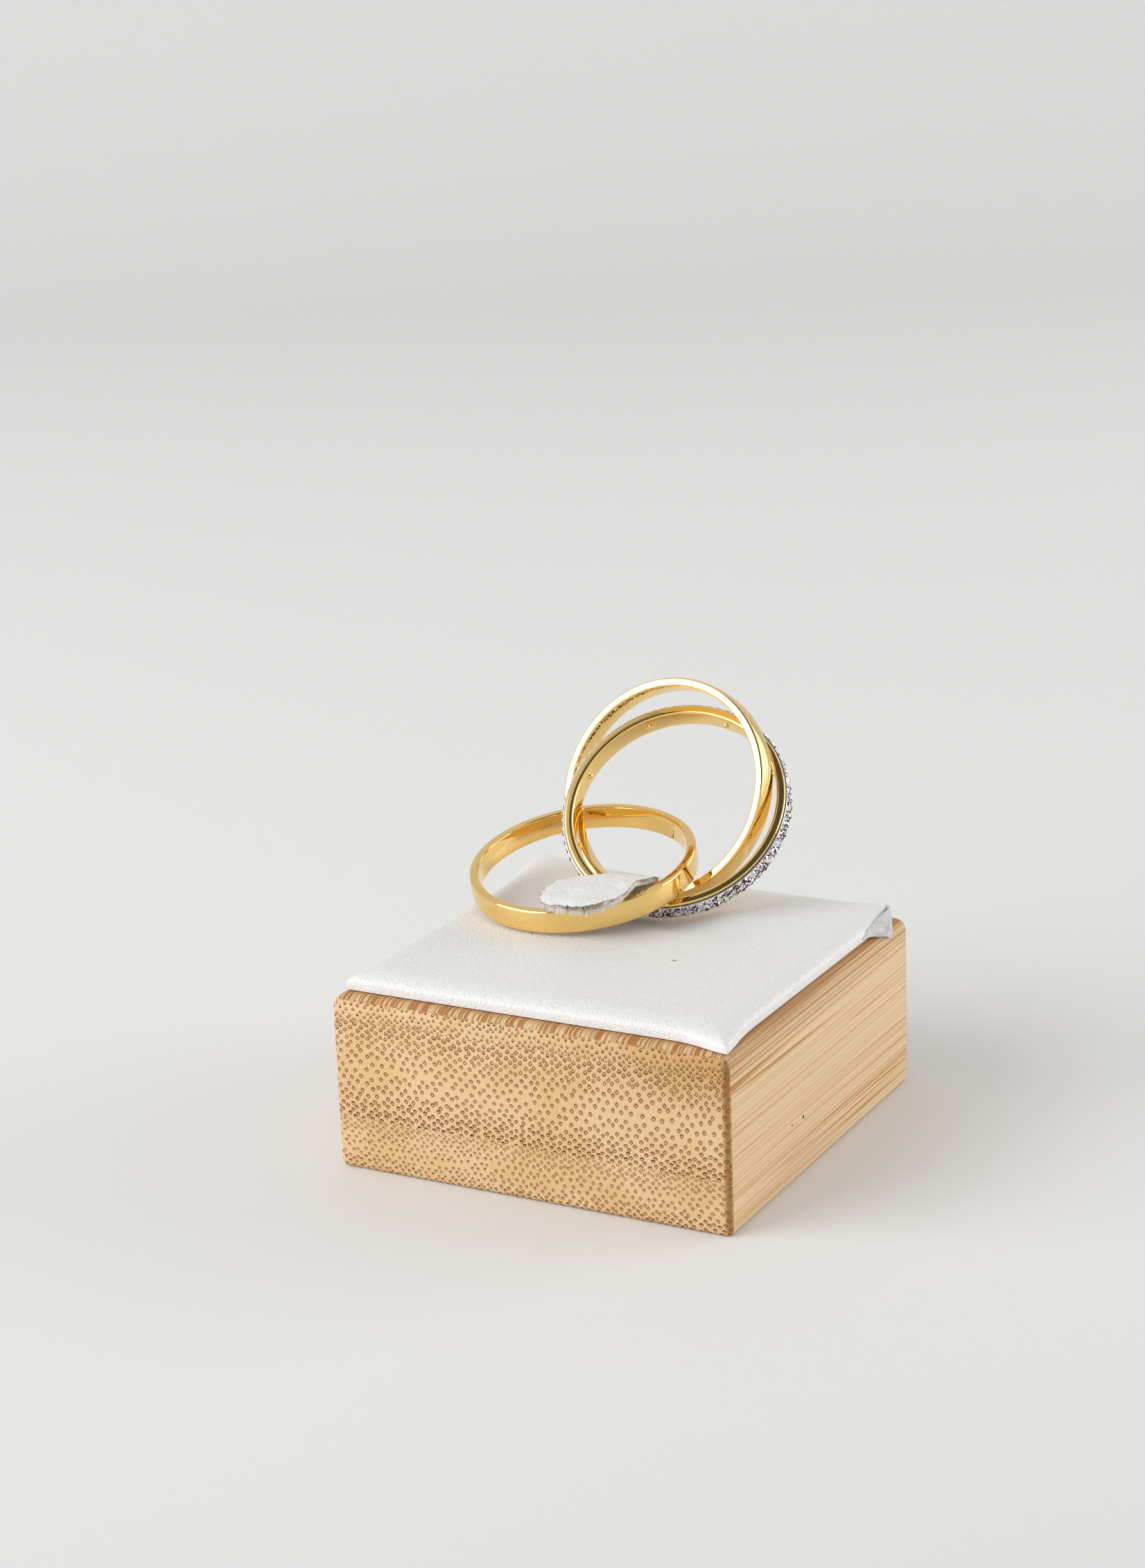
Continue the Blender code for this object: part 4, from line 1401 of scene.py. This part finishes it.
def towards(azimuth_deg, elevation_deg):
    """Unit vector in a compass direction (from +X towards +Y) at a height in degrees."""
    azimuth, elevation = math.radians(azimuth_deg), math.radians(elevation_deg)
    return Vector((math.cos(azimuth) * math.cos(elevation),
                   math.sin(azimuth) * math.cos(elevation), math.sin(elevation)))


def build_world(settings):
    """Even soft light. Polished metal also sees a dark patch overhead and a window."""
    world = bpy.data.worlds.new("studio")
    bpy.context.scene.world = world
    world.use_nodes = True
    tree = world.node_tree
    direction = add_node(tree, "ShaderNodeTexCoord").outputs["Generated"]
    patches = []
    for middle, *angles in (DARK_PATCH, WINDOW_PATCH):
        along = vector_math(tree, 'DOT_PRODUCT', direction, towards(*middle))
        patches.append(fade(tree, along, *(math.cos(math.radians(angle)) for angle in angles)))
    dark, window = patches
    even = settings.world_strength
    mirrored = calculate(tree, 'MULTIPLY_ADD', dark, -DARK_PATCH_SHARE * even, MIRRORED_SHARE * even)
    mirrored = calculate(tree, 'MULTIPLY_ADD', window, WINDOW_STRENGTH, mirrored)
    seen = add_node(tree, "ShaderNodeLightPath").outputs["Is Glossy Ray"]
    extra = calculate(tree, 'SUBTRACT', mirrored, even)
    strength = calculate(tree, 'MULTIPLY_ADD', seen, extra, even)
    sky = tree.nodes["Background"]
    sky.inputs["Color"].default_value = (*ROOM_COLOR, 1.0)
    tree.links.new(strength, sky.inputs["Strength"])


def place_camera():
    """Camera at the photograph's viewpoint, with its lens and its slight roll."""
    back = Vector((math.sin(VIEW_AZIMUTH) * math.cos(VIEW_RISE),
                   -math.cos(VIEW_AZIMUTH) * math.cos(VIEW_RISE), math.sin(VIEW_RISE)))
    right = Vector((math.cos(VIEW_AZIMUTH), math.sin(VIEW_AZIMUTH), 0.0))
    up = back.cross(right)
    eye = VIEW_SHIFT_RIGHT * right + VIEW_SHIFT_UP * up + VIEW_DISTANCE * back
    camera_x = math.cos(VIEW_ROLL) * right + math.sin(VIEW_ROLL) * up
    camera_y = math.cos(VIEW_ROLL) * up - math.sin(VIEW_ROLL) * right
    lens = bpy.data.cameras.new("photo_camera")
    lens.sensor_fit = 'AUTO'
    lens.sensor_width = SENSOR_SIDE
    lens.lens = FOCAL_PIXELS * SENSOR_SIDE / max(PHOTO_WIDTH, PHOTO_HEIGHT)
    lens.clip_start = 0.01
    camera = bpy.data.objects.new("photo_camera", lens)
    bpy.context.scene.collection.objects.link(camera)
    turn = Matrix((camera_x, camera_y, back)).transposed().to_4x4()
    camera.matrix_world = Matrix.Translation(eye) @ turn
    bpy.context.scene.camera = camera


class RINGDISPLAY_OT_stage(bpy.types.Operator):
    """Make the floor, the lights and the camera"""

    bl_idname = "ring_display.stage"
    bl_label = "Stage"

    def execute(self, context):
        settings = context.scene.ring_display.stage
        context.scene.view_settings.view_transform = 'Standard'
        build_floor(settings)
        build_world(settings)
        add_light("key_light", KEY_LIGHT, settings.key_power)
        add_light("side_light", SIDE_LIGHT, settings.side_power)
        place_camera()
        return {'FINISHED'}


class RINGDISPLAY_OT_block(bpy.types.Operator):
    """Make the bamboo block"""

    bl_idname = "ring_display.block"
    bl_label = "Bamboo block"

    def execute(self, context):
        build_block(context.scene.ring_display.block)
        return {'FINISHED'}


class RINGDISPLAY_OT_pad(bpy.types.Operator):
    """Make the leather-covered pad"""

    bl_idname = "ring_display.pad"
    bl_label = "Leather pad"

    def execute(self, context):
        build_pad(context.scene.ring_display.leather)
        return {'FINISHED'}


class RINGDISPLAY_OT_tongue(bpy.types.Operator):
    """Make the leather tongue over the lying band"""

    bl_idname = "ring_display.tongue"
    bl_label = "Leather tongue"

    def execute(self, context):
        build_tongue(context.scene.ring_display.leather)
        return {'FINISHED'}


class RINGDISPLAY_OT_fold(bpy.types.Operator):
    """Make the folded leather at the pad's far right corner"""

    bl_idname = "ring_display.fold"
    bl_label = "Leather fold"

    def execute(self, context):
        build_fold(context.scene.ring_display.leather)
        return {'FINISHED'}


class RINGDISPLAY_OT_plain_bands(bpy.types.Operator):
    """Make the two plain gold bands"""

    bl_idname = "ring_display.plain_bands"
    bl_label = "Plain bands"

    def execute(self, context):
        build_plain_bands(context.scene.ring_display.bands)
        return {'FINISHED'}


class RINGDISPLAY_OT_stone_band(bpy.types.Operator):
    """Make the gold band that carries the stones"""

    bl_idname = "ring_display.stone_band"
    bl_label = "Stone band"

    def execute(self, context):
        build_stone_band(context.scene.ring_display.bands)
        return {'FINISHED'}


class RINGDISPLAY_OT_stone_strip(bpy.types.Operator):
    """Make the white strip with its stones and beads"""

    bl_idname = "ring_display.stone_strip"
    bl_label = "Stone strip"

    def execute(self, context):
        settings = context.scene.ring_display
        build_stone_strip(settings.bands, settings.stones)
        return {'FINISHED'}


OPERATORS = (
    RINGDISPLAY_OT_stage,
    RINGDISPLAY_OT_block,
    RINGDISPLAY_OT_pad,
    RINGDISPLAY_OT_tongue,
    RINGDISPLAY_OT_fold,
    RINGDISPLAY_OT_plain_bands,
    RINGDISPLAY_OT_stone_band,
    RINGDISPLAY_OT_stone_strip,
)


class RINGDISPLAY_PT_pieces(bpy.types.Panel):
    """The ring display's pieces and their settings"""

    bl_label = "Ring Display"
    bl_idname = "RINGDISPLAY_PT_pieces"
    bl_space_type = 'VIEW_3D'
    bl_region_type = 'UI'
    bl_category = "Ring Display"

    def draw(self, context):
        for operator in OPERATORS:
            self.layout.operator(operator.bl_idname)


CLASSES = (BlockSettings, LeatherSettings, BandSettings, StoneSettings, StageSettings,
           RingDisplaySettings, *OPERATORS, RINGDISPLAY_PT_pieces)


def register():
    """Register every class and hang the settings on the scene."""
    for item in CLASSES:
        bpy.utils.register_class(item)
    bpy.types.Scene.ring_display = PointerProperty(type=RingDisplaySettings)


def unregister():
    """Take the settings and every class away again."""
    del bpy.types.Scene.ring_display
    for item in reversed(CLASSES):
        bpy.utils.unregister_class(item)


def main():
    """Make the whole scene."""
    register()
    bpy.ops.ring_display.stage()
    bpy.ops.ring_display.block()
    bpy.ops.ring_display.pad()
    bpy.ops.ring_display.tongue()
    bpy.ops.ring_display.fold()
    bpy.ops.ring_display.plain_bands()
    bpy.ops.ring_display.stone_band()
    bpy.ops.ring_display.stone_strip()


if __name__ == "__main__":
    main()
